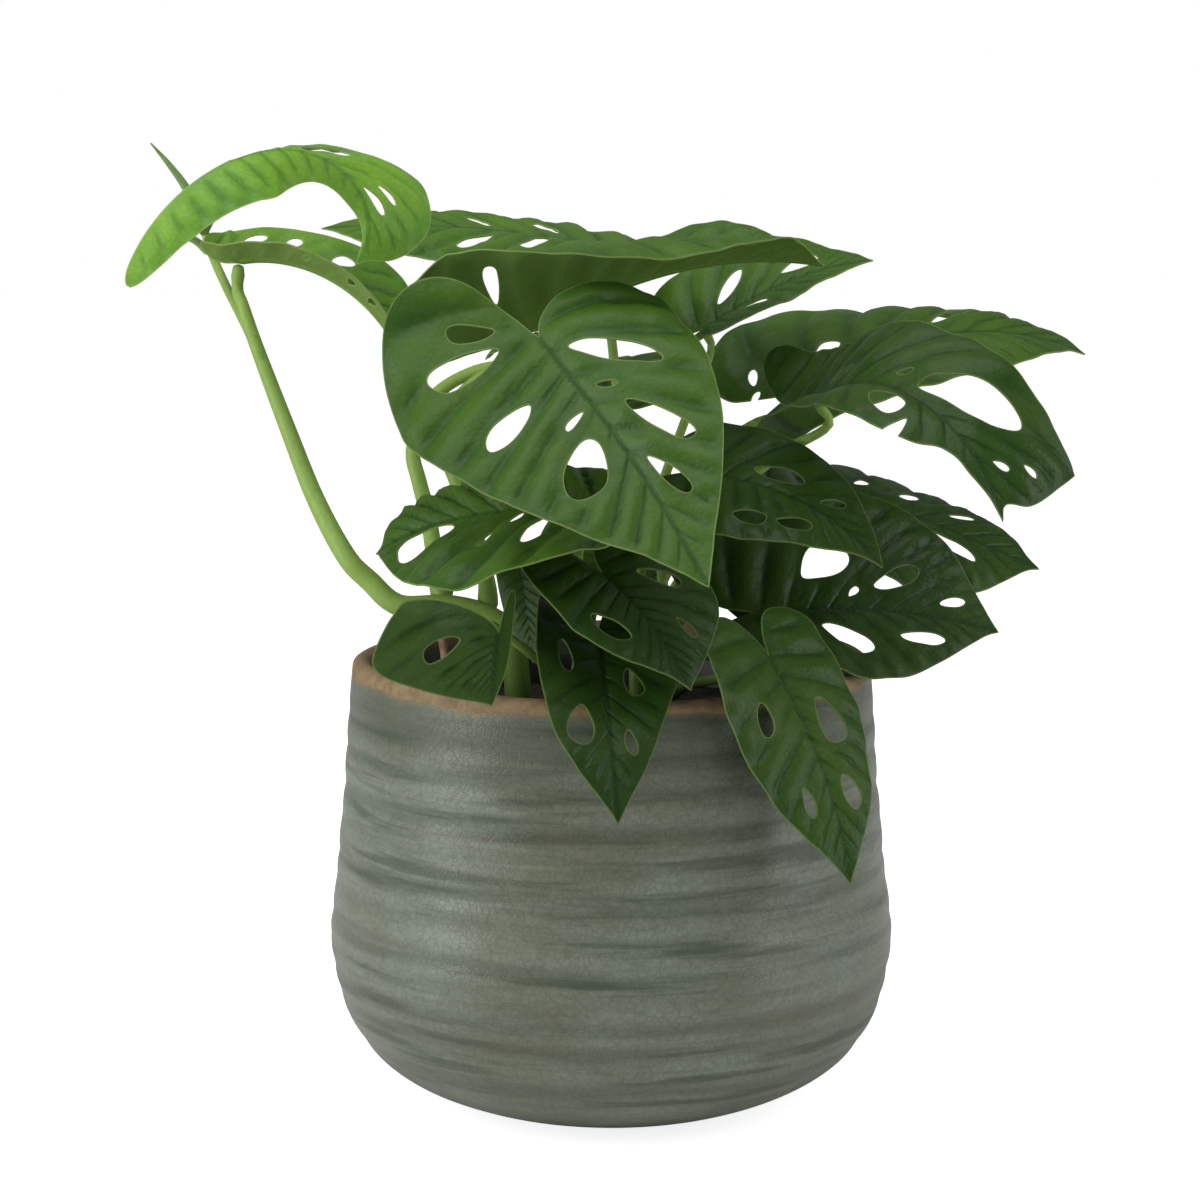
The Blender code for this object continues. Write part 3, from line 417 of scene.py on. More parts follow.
def spline(points, steps):
    """Smooth curve through the points, with a number of steps between two of them."""
    points = [Vector(p) for p in points]
    ends = [2 * points[0] - points[1]] + points + [2 * points[-1] - points[-2]]
    curve = []
    for i in range(1, len(ends) - 2):
        p0, p1, p2, p3 = ends[i - 1:i + 3]
        for j in range(steps):
            t = j / steps
            curve.append(0.5 * (2 * p1 + (p2 - p0) * t
                                + (2 * p0 - 5 * p1 + 4 * p2 - p3) * t * t
                                + (3 * p1 - 3 * p2 + p3 - p0) * t ** 3))
    curve.append(points[-1])
    return curve


def resampled(curve, step):
    """Points of a curve about one step apart, with both ends kept."""
    total = sum((b - a).length for a, b in zip(curve, curve[1:]))
    count = max(3, round(total / step))
    out = [curve[0]]
    walked = 0.0
    for a, b in zip(curve, curve[1:]):
        length = (b - a).length
        while length > 0 and len(out) < count and walked + length >= total * len(out) / count:
            out.append(a.lerp(b, (total * len(out) / count - walked) / length))
        walked += length
    out.append(curve[-1])
    return out


def leaf_spine(leaf):
    """Frames along the midrib: distance, point, along, across and up."""
    low = -1.1 * max(leaf.left.lobe, leaf.right.lobe) - 1
    frames = []
    for i in range(SPINE_STEPS + 1):
        u = lerp(low, leaf.length, i / SPINE_STEPS)
        f = min(max(u / leaf.length, 0.0), 1.0)
        back = max(-u / LOBE_REACH, 0.0)
        pitch = math.radians(leaf.pitch - leaf.droop * f ** leaf.droop_power
                             + leaf.lobe_drop * back)
        heading = math.radians(leaf.heading + leaf.sweep * f)
        roll = math.radians(leaf.roll + leaf.twist * f)
        along = Vector((math.cos(pitch) * math.cos(heading),
                        math.cos(pitch) * math.sin(heading), math.sin(pitch)))
        level = Vector((-math.sin(heading), math.cos(heading), 0))
        up = along.cross(level)
        across = level * math.cos(roll) + up * math.sin(roll)
        up = up * math.cos(roll) - level * math.sin(roll)
        frames.append([u, Vector((0, 0, 0)), along, across, up])
    for last, this in zip(frames, frames[1:]):
        this[1] = last[1] + (last[2] + this[2]) / 2 * (this[0] - last[0])
    origin = frame_at(frames, 0.0)[1]
    for frame_ in frames:
        frame_[1] = frame_[1] - origin + Vector(leaf.base)
    return frames


def frame_at(frames, u):
    step = frames[1][0] - frames[0][0]
    place = min(max((u - frames[0][0]) / step, 0.0), len(frames) - 1.0001)
    i = int(place)
    return [lerp(a, b, place - i) for a, b in zip(frames[i], frames[i + 1])]


def bent(leaf, frames, u, v, z=0.0):
    """Point of the bent blade for a point of the flat blade, z above its middle."""
    _, point, _, across, up = frame_at(frames, u)
    half = leaf.left if v >= 0 else leaf.right
    f = min(max(u / leaf.length, 0.0), 1.0)
    fold = math.radians(lerp(half.fold, half.tip_fold, f))
    curl = math.radians(lerp(half.curl, half.tip_curl, f)) / half.width
    if abs(curl) < 1e-6:
        curl = 1e-6
    reach = fold + curl * abs(v)
    out = (math.sin(reach) - math.sin(fold)) / curl
    rise = (math.cos(fold) - math.cos(reach)) / curl
    side = 1.0 if v >= 0 else -1.0
    crease = smooth(0.0, 1.5, abs(v))
    out -= math.sin(reach * crease) * z
    rise += math.cos(reach * crease) * z
    return point + across * side * out + up * rise


# Meshes and objects


def new_mesh(name, work):
    mesh = bpy.data.meshes.new(name)
    work.to_mesh(mesh)
    work.free()
    return mesh


def new_object(name, data):
    obj = bpy.data.objects.new(name, data)
    bpy.context.scene.collection.objects.link(obj)
    return obj


# Blades


def half_margin(leaf, half):
    """Margin of one flat half from the base of the midrib to the tip."""
    points = [(0.0, 0.0)]
    points += [(a * half.lobe, b * half.width) for a, b in LOBE_SHAPE]
    widest = half.widest * leaf.length
    rest = leaf.length - widest
    points.append((widest, half.width))
    points += [(widest + a * rest, b * half.width * half.fullness) for a, b in FLANK_SHAPE]
    points.append((TIP_START[0] * leaf.length, TIP_START[1] * half.width))
    points.append((leaf.length, 0.0))
    return spline([(u, v, 0) for u, v in points], CURVE_STEPS)


def flat_outline(leaf):
    left = resampled(half_margin(leaf, leaf.left), MARGIN_STEP)
    right = resampled(half_margin(leaf, leaf.right), MARGIN_STEP)
    outline = [Vector((p.x, p.y)) for p in reversed(left)]
    outline += [Vector((p.x, -p.y)) for p in right[1:-1]]
    return outline, len(left) - 1


def flat_hole(hole):
    """Closed egg-shaped loop of one hole, narrow toward the midrib and blunt toward the margin."""
    u0, v0, u1, v1, width = hole
    middle = Vector((u0 + u1, v0 + v1)) / 2
    along = Vector((u1 - u0, v1 - v0)) / 2
    across = Vector((-along.y, along.x)).normalized() * width / 2
    count = max(14, round((2 * along.length + width) * 1.6 / HOLE_STEP))
    turns = [2 * math.pi * i / count for i in range(count)]
    return [middle + along * math.cos(t) * (1 + HOLE_WAVE * math.sin(3 * t + u0))
            + across * math.sin(t) * (1 + HOLE_BLUNT * math.cos(t) + HOLE_LEAN * math.sin(2 * t + v0))
            for t in turns]


def inside(point, loop):
    odd = False
    for a, b in zip(loop, loop[1:] + loop[:1]):
        if (a.y > point.y) != (b.y > point.y):
            if point.x < (b.x - a.x) * (point.y - a.y) / (b.y - a.y) + a.x:
                odd = not odd
    return odd


def in_blade(point, loops):
    """Whether a point lies within the outline, which is the first loop, and in none of the holes."""
    return inside(point, loops[0]) and not any(inside(point, hole) for hole in loops[1:])


def vein_start(leaf, u, v):
    """Where the lateral vein through a point leaves the midrib."""
    a = abs(v)
    gain = 1 + a * VEIN_SLOPE_GAIN / leaf.length
    return (u - a * VEIN_SLOPE - VEIN_BEND * a * a / leaf.length) / gain


def vein_ranks(leaf, side):
    """Knots from the place on the midrib to the count of veins, with each hole between two veins."""
    spacing = VEIN_SHARE * leaf.length
    places = sorted((vein_start(leaf, h[0], h[1]) + vein_start(leaf, h[2], h[3])) / 2
                    for h in leaf.holes if (h[1] + h[3]) * side > 0)
    if not places:
        places = [spacing]
    knots = [(places[0], 0.5)]
    for s in places[1:]:
        gap = s - knots[-1][0]
        if gap < VEIN_LEAST * spacing:
            continue
        knots.append((s, knots[-1][1] + max(1, round(gap / spacing))))
    low = (knots[0][0] - VEINS_BEFORE * spacing, knots[0][1] - VEINS_BEFORE)
    high = (knots[-1][0] + VEINS_AFTER * spacing, knots[-1][1] + VEINS_AFTER)
    return [low] + knots + [high]


def rank_at(knots, s):
    for (s0, r0), (s1, r1) in zip(knots, knots[1:]):
        if s < s1:
            break
    return lerp(r0, r1, (s - s0) / (s1 - s0))


def margin_tree(loops):
    """Search tree of points along the margin and the rims of the holes."""
    points = []
    for loop in loops:
        for a, b in zip(loop, loop[1:] + loop[:1]):
            count = max(1, math.ceil((b - a).length / MARGIN_DOTS))
            points += [a.lerp(b, i / count) for i in range(count)]
    tree = kdtree.KDTree(len(points))
    for i, p in enumerate(points):
        tree.insert((p.x, p.y, 0), i)
    tree.balance()
    return tree


def flat_blade(leaf, step):
    """Flat blade as vertices and triangles, and the search tree of its margins."""
    outline, base = flat_outline(leaf)
    loops = [outline] + [flat_hole(h) for h in leaf.holes]
    tree = margin_tree(loops)
    verts = [p for loop in loops for p in loop]
    borders = []
    start = 0
    for loop in loops:
        borders.append(list(range(start, start + len(loop))))
        start += len(loop)
    count = round(leaf.length / step)
    verts += [Vector((leaf.length * i / count, 0)) for i in range(1, count)]
    chain = [base, *range(start, len(verts)), 0]
    rib = list(zip(chain, chain[1:]))
    rows = [1.0, 2.0]
    while rows[-1] < max(leaf.left.width, leaf.right.width) + 1:
        rows.append(rows[-1] + step * ROW_SHARE)
    for loop in loops:
        for before, here, after in zip(loop[-1:] + loop[:-1], loop, loop[1:] + loop[:1]):
            out = (after - before).normalized()
            for turn in (1, -1):
                p = here + Vector((-out.y, out.x)) * MARGIN_WIDTH * turn
                clear = abs(p.y) > RIB_SPACE and tree.find((p.x, p.y, 0))[2] > 0.9 * MARGIN_WIDTH
                if clear and in_blade(p, loops):
                    verts.append(p)
    reach = max(leaf.left.lobe, leaf.right.lobe)
    for n, row in enumerate(rows):
        for side in (1, -1):
            for i in range(int((leaf.length + reach) / step) + 1):
                p = Vector((-reach + (i + 0.5 * (n % 2)) * step, row * side))
                if tree.find((p.x, p.y, 0))[2] >= ROW_SPACE * step and in_blade(p, loops):
                    verts.append(p)
    result = delaunay_2d_cdt(verts, rib, borders, 1, 1e-5, True)
    faces = [f for f, source in zip(result[2], result[5]) if source == [0]]
    return result[0], faces, tree


def blade_mesh(leaf, blade):
    """Closed blade with quilting between its veins, a midrib, and the data that its material reads."""
    thickness = blade.thickness / MM
    flat, faces, tree = flat_blade(leaf, blade.step / MM)
    work = bmesh.new()
    used = sorted({i for f in faces for i in f})
    made = {i: work.verts.new((flat[i].x, flat[i].y, 0)) for i in used}
    for a, b, c in faces:
        if (flat[b] - flat[a]).cross(flat[c] - flat[a]) < 0:
            b, c = c, b
        work.faces.new((made[a], made[b], made[c]))
    work.normal_update()
    bmesh.ops.solidify(work, geom=work.faces[:], thickness=thickness)
    middle = sum(v.co.z for v in work.verts) / len(work.verts)
    for name in BLADE_DATA:
        work.verts.layers.float.new(name)
    layers = {name: work.verts.layers.float[name] for name in BLADE_DATA}
    for face in work.faces:
        face.smooth = True
        heights = [v.co.z > middle for v in face.verts]
        if any(heights) and not all(heights):
            for edge in face.edges:
                ends = [v.co.z > middle for v in edge.verts]
                if ends[0] == ends[1]:
                    edge.smooth = False
    frames = leaf_spine(leaf)
    knots = {1: vein_ranks(leaf, 1), -1: vein_ranks(leaf, -1)}
    seed = sum(ord(c) for c in leaf.name)
    size = (leaf.left.width + leaf.right.width) / BROAD_BLADE
    for vert in work.verts:
        u, v, z = vert.co
        top = z > middle
        side = 1 if v >= 0 else -1
        edge = tree.find((u, v, 0))[2]
        if edge < 0.02:
            edge = 0.0
        start = vein_start(leaf, u, v)
        rank = rank_at(knots[side], start)
        inner = smooth(*MIDRIB_FADE, abs(v))
        bulge = abs(math.sin(math.pi * rank)) ** BULGE_POWER - BULGE_DROP
        swell = blade.quilt / MM * size ** 0.5 * leaf.pucker
        swell *= smooth(*SWELL_FADE, abs(v))
        rise = swell * bulge * inner * smooth(*MARGIN_FADE, edge + 0.8)
        for scale, shift, height in UNEVENNESS:
            rise += height * noise.noise(Vector((u / scale, v / scale, seed + shift))) * inner
        lip = 1 - smooth(0.0, RIPPLE_REACH, edge)
        sway = noise.noise(Vector((u / RIPPLE_LENGTH, side * 3, seed + 9)))
        rise += blade.ripple / MM * 2 * sway * lip * smooth(*RIPPLE_FADE, abs(v))
        offset = thickness / 2 if top else -thickness / 2
        taper = 1 - smooth(0.0, 1.0, u / leaf.length) * MIDRIB_TAPER
        if u > -1.0:
            rib = 1 - smooth(0.0, MIDRIB_WIDTH, abs(v))
            if top:
                offset -= GROOVE_DEPTH * rib * taper * smooth(*GROOVE_FADE, edge)
            else:
                offset -= blade.midrib / MM * rib * taper * smooth(0.0, 2.0, edge + 0.6)
        for name, value in zip(BLADE_DATA, (rank, abs(v), edge, 0.0 if top else 1.0)):
            vert[layers[name]] = value
        vert.co = bent(leaf, frames, u, v, rise + offset) * MM
    return new_mesh(leaf.name, work)


# Round pieces


def add_tube(work, curve, radii, sides):
    """Round tube of rings along a curve, closed at both ends."""
    ahead = (curve[1] - curve[0]).normalized()
    across = ahead.orthogonal().normalized()
    start = bmesh.ops.create_circle(work, cap_ends=True, segments=sides, radius=1.0)
    ring = start["verts"]
    edges = list({e for v in ring for e in v.link_edges})
    shape = [v.co.copy() for v in ring]
    for i, p in enumerate(curve):
        ahead = (curve[min(i + 1, len(curve) - 1)] - curve[max(i - 1, 0)]).normalized()
        across = (across - ahead * across.dot(ahead)).normalized()
        other = ahead.cross(across)
        if i:
            grown = bmesh.ops.extrude_edge_only(work, edges=edges)["geom"]
            verts = [g for g in grown if isinstance(g, bmesh.types.BMVert)]
            edges = [g for g in grown if isinstance(g, bmesh.types.BMEdge)
                     and all(v in verts for v in g.verts)]
            links = {e.other_vert(v): v for v in verts for e in v.link_edges}
            ring = [links[v] for v in ring]
        for v, s in zip(ring, shape):
            v.co = (p + (across * s.x + other * s.y) * radii[i]) * MM
    bmesh.ops.contextual_create(work, geom=edges)


def tube_radii(curve, start, end, branch):
    """Radii of a limb: swollen where it leaves its stem, and again close to its blade."""
    last = len(curve) - 1
    walked = [0.0]
    for a, b in zip(curve, curve[1:]):
        walked.append(walked[-1] + (b - a).length)
    total = walked[-1]
    radii = []
    for i, w in enumerate(walked):
        r = lerp(start, end, i / last)
        if branch:
            r *= (JOINT_THIN + JOINT_SWELL * smooth(0, JOINT_LENGTH, w)
                  - JOINT_LOSS * smooth(JOINT_LENGTH, JOINT_END, w))
        left = total - w
        if left < KNEE_LENGTH:
            middle = KNEE_LENGTH / 2
            r *= 1 + KNEE_SWELL * smooth(0, middle, left) * smooth(KNEE_LENGTH, middle, left)
        radii.append(r)
    return radii


def domed(curve, radii):
    """Adds the small rings of a domed end."""
    ahead = (curve[-1] - curve[-2]).normalized()
    end = curve[-1]
    r = radii[-1]
    return (curve + [end + ahead * r * rise for rise, _ in DOME],
            radii + [r * share for _, share in DOME])


def finish_piece(name, mesh, material, nodes):
    """Puts a piece in the scene in place of its nodes."""
    obj = new_object(name, mesh)
    mesh.materials.append(material)
    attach(obj, "root")
    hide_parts(*nodes)


def closed_mesh(name, work):
    bmesh.ops.remove_doubles(work, verts=work.verts, dist=1e-7)
    bmesh.ops.recalc_face_normals(work, faces=work.faces)
    for face in work.faces:
        face.smooth = True
    return new_mesh(name, work)


def spun_mesh(profile, segments):
    """Closed solid turned from a profile of radius and height that starts and ends on the axis."""
    work = bmesh.new()
    verts = [work.verts.new((r * MM, 0, z * MM)) for r, z in profile]
    edges = [work.edges.new(pair) for pair in zip(verts, verts[1:])]
    bmesh.ops.spin(work, geom=verts + edges, cent=(0, 0, 0), axis=(0, 0, 1),
                   angle=2 * math.pi, steps=segments, use_merge=True)
    bmesh.ops.remove_doubles(work, verts=work.verts, dist=1e-6)
    bmesh.ops.recalc_face_normals(work, faces=work.faces)
    return work


# Materials


class Nodes:
    """Short calls for building one node tree."""

    def __init__(self, tree):
        self.tree = tree

    def add(self, kind, **values):
        node = self.tree.nodes.new(kind)
        for key, value in values.items():
            setattr(node, key, value)
        return node

    def put(self, socket, value):
        if isinstance(value, bpy.types.NodeSocket):
            self.tree.links.new(value, socket)
        elif value is not None:
            socket.default_value = value

    def made(self, kind, out, *entries, **values):
        """Output of a new node whose first sockets are filled in order."""
        node = self.add(kind, **values)
        for socket, entry in zip(node.inputs, entries):
            self.put(socket, entry)
        return node.outputs[out]

    def math(self, operation, *entries):
        return self.made("ShaderNodeMath", 0, *entries, operation=operation)

    def times(self, a, b):
        return self.math("MULTIPLY", a, b)

    def step(self, value, low, high, out_low=0.0, out_high=1.0):
        return self.made("ShaderNodeMapRange", 0, value, low, high, out_low, out_high,
                         interpolation_type="SMOOTHSTEP")

    def mix(self, factor, a, b):
        node = self.add("ShaderNodeMix", data_type="RGBA")
        self.put(node.inputs["Factor"], factor)
        self.put(node.inputs[6], a)
        self.put(node.inputs[7], b)
        return node.outputs[2]

    def tint(self, colour, mask, share, other):
        """Colour with another laid over it by a share of a mask."""
        return self.mix(self.times(mask, share), colour, rgba(other))

    def veil(self, colour, value, low, high, share, other):
        """Colour with another laid over it up to a share as a value goes from low to high."""
        return self.mix(self.step(value, low, high, 0.0, share), colour, rgba(other))

    def mapped(self, vector, scale, location=(0.0, 0.0, 0.0)):
        return self.made("ShaderNodeMapping", 0, vector, location, None, scale)

    def shifted(self, vector, amount):
        """Vector moved by an amount along every axis."""
        return self.made("ShaderNodeVectorMath", 0, vector, amount, operation="ADD")

    def height(self, vector):
        return self.made("ShaderNodeSeparateXYZ", "Z", vector)

    def noise(self, vector, scale, detail=3.0, rough=0.5):
        return self.made("ShaderNodeTexNoise", "Fac", vector, None, scale, detail, rough)

    def voronoi(self, vector, scale, feature="DISTANCE_TO_EDGE"):
        return self.made("ShaderNodeTexVoronoi", "Distance", vector, None, scale, feature=feature)

    def attribute(self, name):
        return self.made("ShaderNodeAttribute", "Fac", attribute_name=name)

    def object_coordinates(self):
        return self.made("ShaderNodeTexCoord", "Object")

    def bump(self, height, strength, distance):
        node = self.add("ShaderNodeBump")
        self.put(node.inputs["Strength"], strength)
        self.put(node.inputs["Distance"], distance)
        self.put(node.inputs["Height"], height)
        return node.outputs["Normal"]

    def group(self, tree, **values):
        node = self.add("ShaderNodeGroup", node_tree=tree)
        for key, value in values.items():
            self.put(node.inputs[key.replace("_", " ")], value)
        return node


def rgba(colour):
    return (colour[0], colour[1], colour[2], 1.0)


def new_group(name, inputs, outputs):
    """Empty shader group with its sockets, and its group input and output nodes."""
    tree = bpy.data.node_groups.new(name, "ShaderNodeTree")
    for label, kind in inputs:
        tree.interface.new_socket(label, in_out="INPUT", socket_type=kind)
    for label, kind in outputs:
        tree.interface.new_socket(label, in_out="OUTPUT", socket_type=kind)
    nodes = Nodes(tree)
    return nodes, nodes.add("NodeGroupInput").outputs, nodes.add("NodeGroupOutput").inputs


def new_material(name):
    material = bpy.data.materials.new(name)
    material.use_nodes = True
    nodes = Nodes(material.node_tree)
    return material, nodes, material.node_tree.nodes["Principled BSDF"].inputs


def vein_group():
    """Masks of the lateral veins, the fine net and the midrib from a blade's own data."""
    floats = "NodeSocketFloat"
    nodes, given, out = new_group(
        "Leaf veins",
        (("Rank", floats), ("Across", floats), ("Edge", floats), ("Vector", "NodeSocketVector")),
        (("Lateral", floats), ("Midrib", floats), ("Margin", floats), ("Net", floats),
         ("Bulge", floats)))
    wander = nodes.noise(given["Vector"], 90.0, 2.0)
    drift = nodes.times(nodes.math("SUBTRACT", wander, 0.5), 0.16)
    halfway = nodes.math("ADD", nodes.math("ADD", given["Rank"], drift), 0.5)
    away = nodes.math("ABSOLUTE", nodes.math("SUBTRACT", nodes.math("FRACT", halfway), 0.5))
    # Lateral and Midrib mask the sunken veins, which the blade material paints darker on the upper side as
    # painted shade.
    lateral = nodes.step(away, 0.0, 0.2, 1.0, 0.0)
    open_part = nodes.step(given["Edge"], 0.5, 5.0)
    nodes.put(out["Lateral"], nodes.times(lateral, open_part))
    # Bulge masks the bulges between the lateral veins, which the blade material paints lighter as painted
    # highlight.
    nodes.put(out["Bulge"], nodes.times(nodes.step(away, 0.0, 0.5), open_part))
    nodes.put(out["Midrib"], nodes.step(given["Across"], 0.35, 1.3, 1.0, 0.0))
    nodes.put(out["Margin"], nodes.step(given["Edge"], 0.1, 0.45, 1.0, 0.0))
    warp = nodes.times(nodes.noise(given["Vector"], 400.0), 0.002)
    cells = nodes.voronoi(nodes.shifted(given["Vector"], warp), 420.0)
    nodes.put(out["Net"], nodes.step(cells, 0.0, 0.3, 1.0, 0.0))
    return nodes.tree


def leaf_material(tone, blade, veins):
    """Glossy blade, a thin pale margin and a paler matte underside; painted shade in the sunken veins,
    painted highlight on the bulges.
    """
    material, nodes, shader = new_material(f"Leaf tone {round(tone * 100)}")
    place = nodes.object_coordinates()
    data = nodes.group(veins, Rank=nodes.attribute("rank"), Across=nodes.attribute("across"),
                       Edge=nodes.attribute("edge"), Vector=place).outputs
    top = [lerp(d, f, tone) for d, f in zip(blade.dark, blade.fresh)]
    # The darker colour is painted shade in the sunken veins and the faint colour of the fine net; the lighter
    # one gives random paler patches and the painted highlight on the bulges.
    darker = [top[0] * 0.3, top[1] * 0.42, top[2] * 0.6]
    paler_and_highlight = [top[0] * 1.6, top[1] * 1.35, top[2] * 0.9]
    patches = nodes.noise(place, 38.0, 4.0, 0.55)
    colour = nodes.mix(nodes.step(patches, 0.35, 0.68), rgba(top), rgba(paler_and_highlight))
    # On the upper side the bulges get painted highlight, and the sunken lateral veins and the midrib groove
    # get painted shade.
    for mask, share, other in (("Bulge", 0.55, paler_and_highlight), ("Lateral", 0.36, darker),
                               ("Net", 0.14, darker), ("Midrib", 0.4, darker)):
        colour = nodes.tint(colour, data[mask], share, other)
    pale = [lerp(a, b, min(0.3 + 0.6 * tone, 1.25)) for a, b in zip(top, blade.under)]
    beneath = nodes.tint(rgba(pale), data["Lateral"], 0.35, [c * 1.3 for c in pale])
    beneath = nodes.tint(beneath, data["Midrib"], 0.7, [c * 1.6 for c in pale])
    under = nodes.attribute("under")
    colour = nodes.mix(under, colour, beneath)
    margin = [lerp(t, m, min(0.3 + 0.5 * tone, 1.0)) for t, m in zip(top, blade.margin)]
    colour = nodes.tint(colour, data["Margin"], 0.65, margin)
    nodes.put(shader["Base Color"], colour)
    rough = nodes.step(patches, 0.3, 0.7, 0.32, 0.46)
    rough = nodes.math("ADD", rough, nodes.times(under, 0.2))
    nodes.put(shader["Roughness"], rough)
    shader["Specular IOR Level"].default_value = 0.2
    height = nodes.math("ADD", nodes.times(data["Lateral"], -0.8),
                        nodes.times(data["Net"], -0.12))
    fine = nodes.noise(place, 900.0, 2.0)
    height = nodes.math("ADD", height, nodes.times(fine, 0.06))
    height = nodes.times(height, nodes.math("SUBTRACT", 1.0, nodes.times(under, 1.6)))
    nodes.put(shader["Normal"], nodes.bump(height, 0.7, 0.0005))
    return material


def stem_material(vine):
    """Smooth light green stem, darker close to the soil, with faint lengthwise streaks."""
    material, nodes, shader = new_material("Green stem")
    place = nodes.object_coordinates()
    # The stems take the darker low green below 115 mm, fading to their light green by 165 mm, as painted
    # shade close to the soil and inside the pot.
    height = nodes.step(nodes.height(place), 0.115, 0.165)
    colour = nodes.mix(height, rgba(vine.low), rgba(vine.green))
    streaks = nodes.noise(nodes.mapped(place, (1.0, 1.0, 0.12)), 900.0, 2.0)
    colour = nodes.veil(colour, streaks, 0.3, 0.7, 0.35, [c * 0.72 for c in vine.green])
    spots = nodes.noise(place, 150.0, 3.0)
    colour = nodes.veil(colour, spots, 0.62, 0.75, 0.35, vine.spots)
    nodes.put(shader["Base Color"], colour)
    shader["Roughness"].default_value = 0.45
    shader["Specular IOR Level"].default_value = 0.3
    nodes.put(shader["Normal"], nodes.bump(streaks, 0.15, 0.0003))
    return material


def plain_material(name):
    """Two mottled tones with a rough relief, for dry wood, sheaths, soil and plastic."""
    dark, pale, scale, roughness, strength = PLAIN_LOOKS[name]
    material, nodes, shader = new_material(name)
    place = nodes.object_coordinates()
    mottle = nodes.noise(place, scale, 6.0, 0.65)
    nodes.put(shader["Base Color"], nodes.mix(nodes.step(mottle, 0.35, 0.68), rgba(dark),
                                              rgba(pale)))
    shader["Roughness"].default_value = roughness
    nodes.put(shader["Normal"], nodes.bump(mottle, strength, 0.001))
    return material


def pot_material(pot):
    """Crackled grey-green glaze over stoneware, with a raw clay lip."""
    material, nodes, shader = new_material("Crackle glaze")
    place = nodes.object_coordinates()
    z = nodes.height(place)
    ring = nodes.attribute("ring")
    cloud = nodes.noise(place, 26.0, 4.0, 0.6)
    grain = nodes.noise(place, 420.0, 3.0, 0.6)
    colour = nodes.mix(nodes.step(cloud, 0.35, 0.68), rgba(pot.glaze), rgba(pot.glaze_pale))
    colour = nodes.tint(colour, ring, 0.5, pot.glaze_deep_and_shade)
    colour = nodes.veil(colour, grain, 0.3, 0.7, 0.25, pot.glaze_deep_and_shade)
    streak = nodes.noise(nodes.mapped(place, (12.0, 12.0, 190.0)), 1.0, 3.0, 0.6)
    colour = nodes.veil(colour, streak, 0.48, 0.68, 0.85, pot.glaze_deep_and_shade)
    colour = nodes.veil(colour, streak, 0.46, 0.28, 0.55, pot.glaze_pale)
    drift = nodes.mapped(place, (9.0, 9.0, 120.0), (0.3, 0.1, 0.7))
    brown = nodes.noise(drift, 1.0, 4.0, 0.65)
    colour = nodes.veil(colour, brown, 0.48, 0.7, 0.6, pot.glaze_brown)
    # Painted shade: the glaze is painted darker toward the top of the pot, from 106 to 126 mm, where the
    # leaves hang over it.
    colour = nodes.veil(colour, z, 0.106, 0.126, 0.55, pot.glaze_deep_and_shade)
    warp = nodes.times(nodes.noise(place, 60.0, 2.0), 0.004)
    moved = nodes.shifted(place, warp)
    crack = nodes.voronoi(moved, 430.0)
    crack = nodes.step(crack, 0.0, 0.11, 1.0, 0.0)
    coarse = nodes.voronoi(moved, 210.0)
    coarse = nodes.step(coarse, 0.0, 0.035, 1.0, 0.0)
    crack = nodes.math("MAXIMUM", nodes.times(crack, 0.7), nodes.times(coarse, 0.8))
    colour = nodes.tint(colour, crack, 0.34, pot.crack)
    specks = nodes.step(nodes.voronoi(place, 520.0, "F1"), 0.05, 0.12, 1.0, 0.0)
    colour = nodes.tint(colour, specks, 0.5, pot.speck)
    torn = nodes.math("SUBTRACT", nodes.noise(place, 55.0, 4.0, 0.6), 0.5)
    ragged = nodes.math("ADD", z, nodes.times(torn, 0.006))
    raw = nodes.math("GREATER_THAN", ragged, pot.raw_height)
    edge = nodes.step(ragged, pot.raw_height - 0.0022, pot.raw_height)
    colour = nodes.tint(colour, edge, 0.5, [c * 0.8 for c in pot.clay])
    clay = nodes.mix(nodes.step(nodes.noise(place, 240.0, 5.0, 0.7), 0.3, 0.7), rgba(pot.clay),
                     rgba([c * 0.62 for c in pot.clay]))
    clay = nodes.tint(clay, specks, 0.6, pot.clay_speck)
    nodes.put(shader["Base Color"], nodes.mix(raw, colour, clay))
    nodes.put(shader["Roughness"], nodes.math("ADD", nodes.times(raw, 0.45),
                                              nodes.step(cloud, 0.3, 0.7, 0.28, 0.40)))
    height = nodes.math("ADD", nodes.times(crack, -0.35), nodes.times(grain, 0.45))
    nodes.put(shader["Normal"], nodes.bump(height, 0.35, 0.0004))
    return material


# Operators


class MONSTERA_OT_blades(bpy.types.Operator):
    """Builds every blade with its margin, holes, quilting and veins"""
    bl_idname = "monstera.blades"
    bl_label = "Blades"

    def execute(self, context):
        blade = context.scene.monstera_blade
        veins = vein_group()
        materials = {}
        for leaf in LEAVES:
            if leaf.tone not in materials:
                materials[leaf.tone] = leaf_material(leaf.tone, blade, veins)
            finish_piece(leaf.name.replace("leaf", "blade"), blade_mesh(leaf, blade),
                         materials[leaf.tone], (leaf.name,))
        return {"FINISHED"}


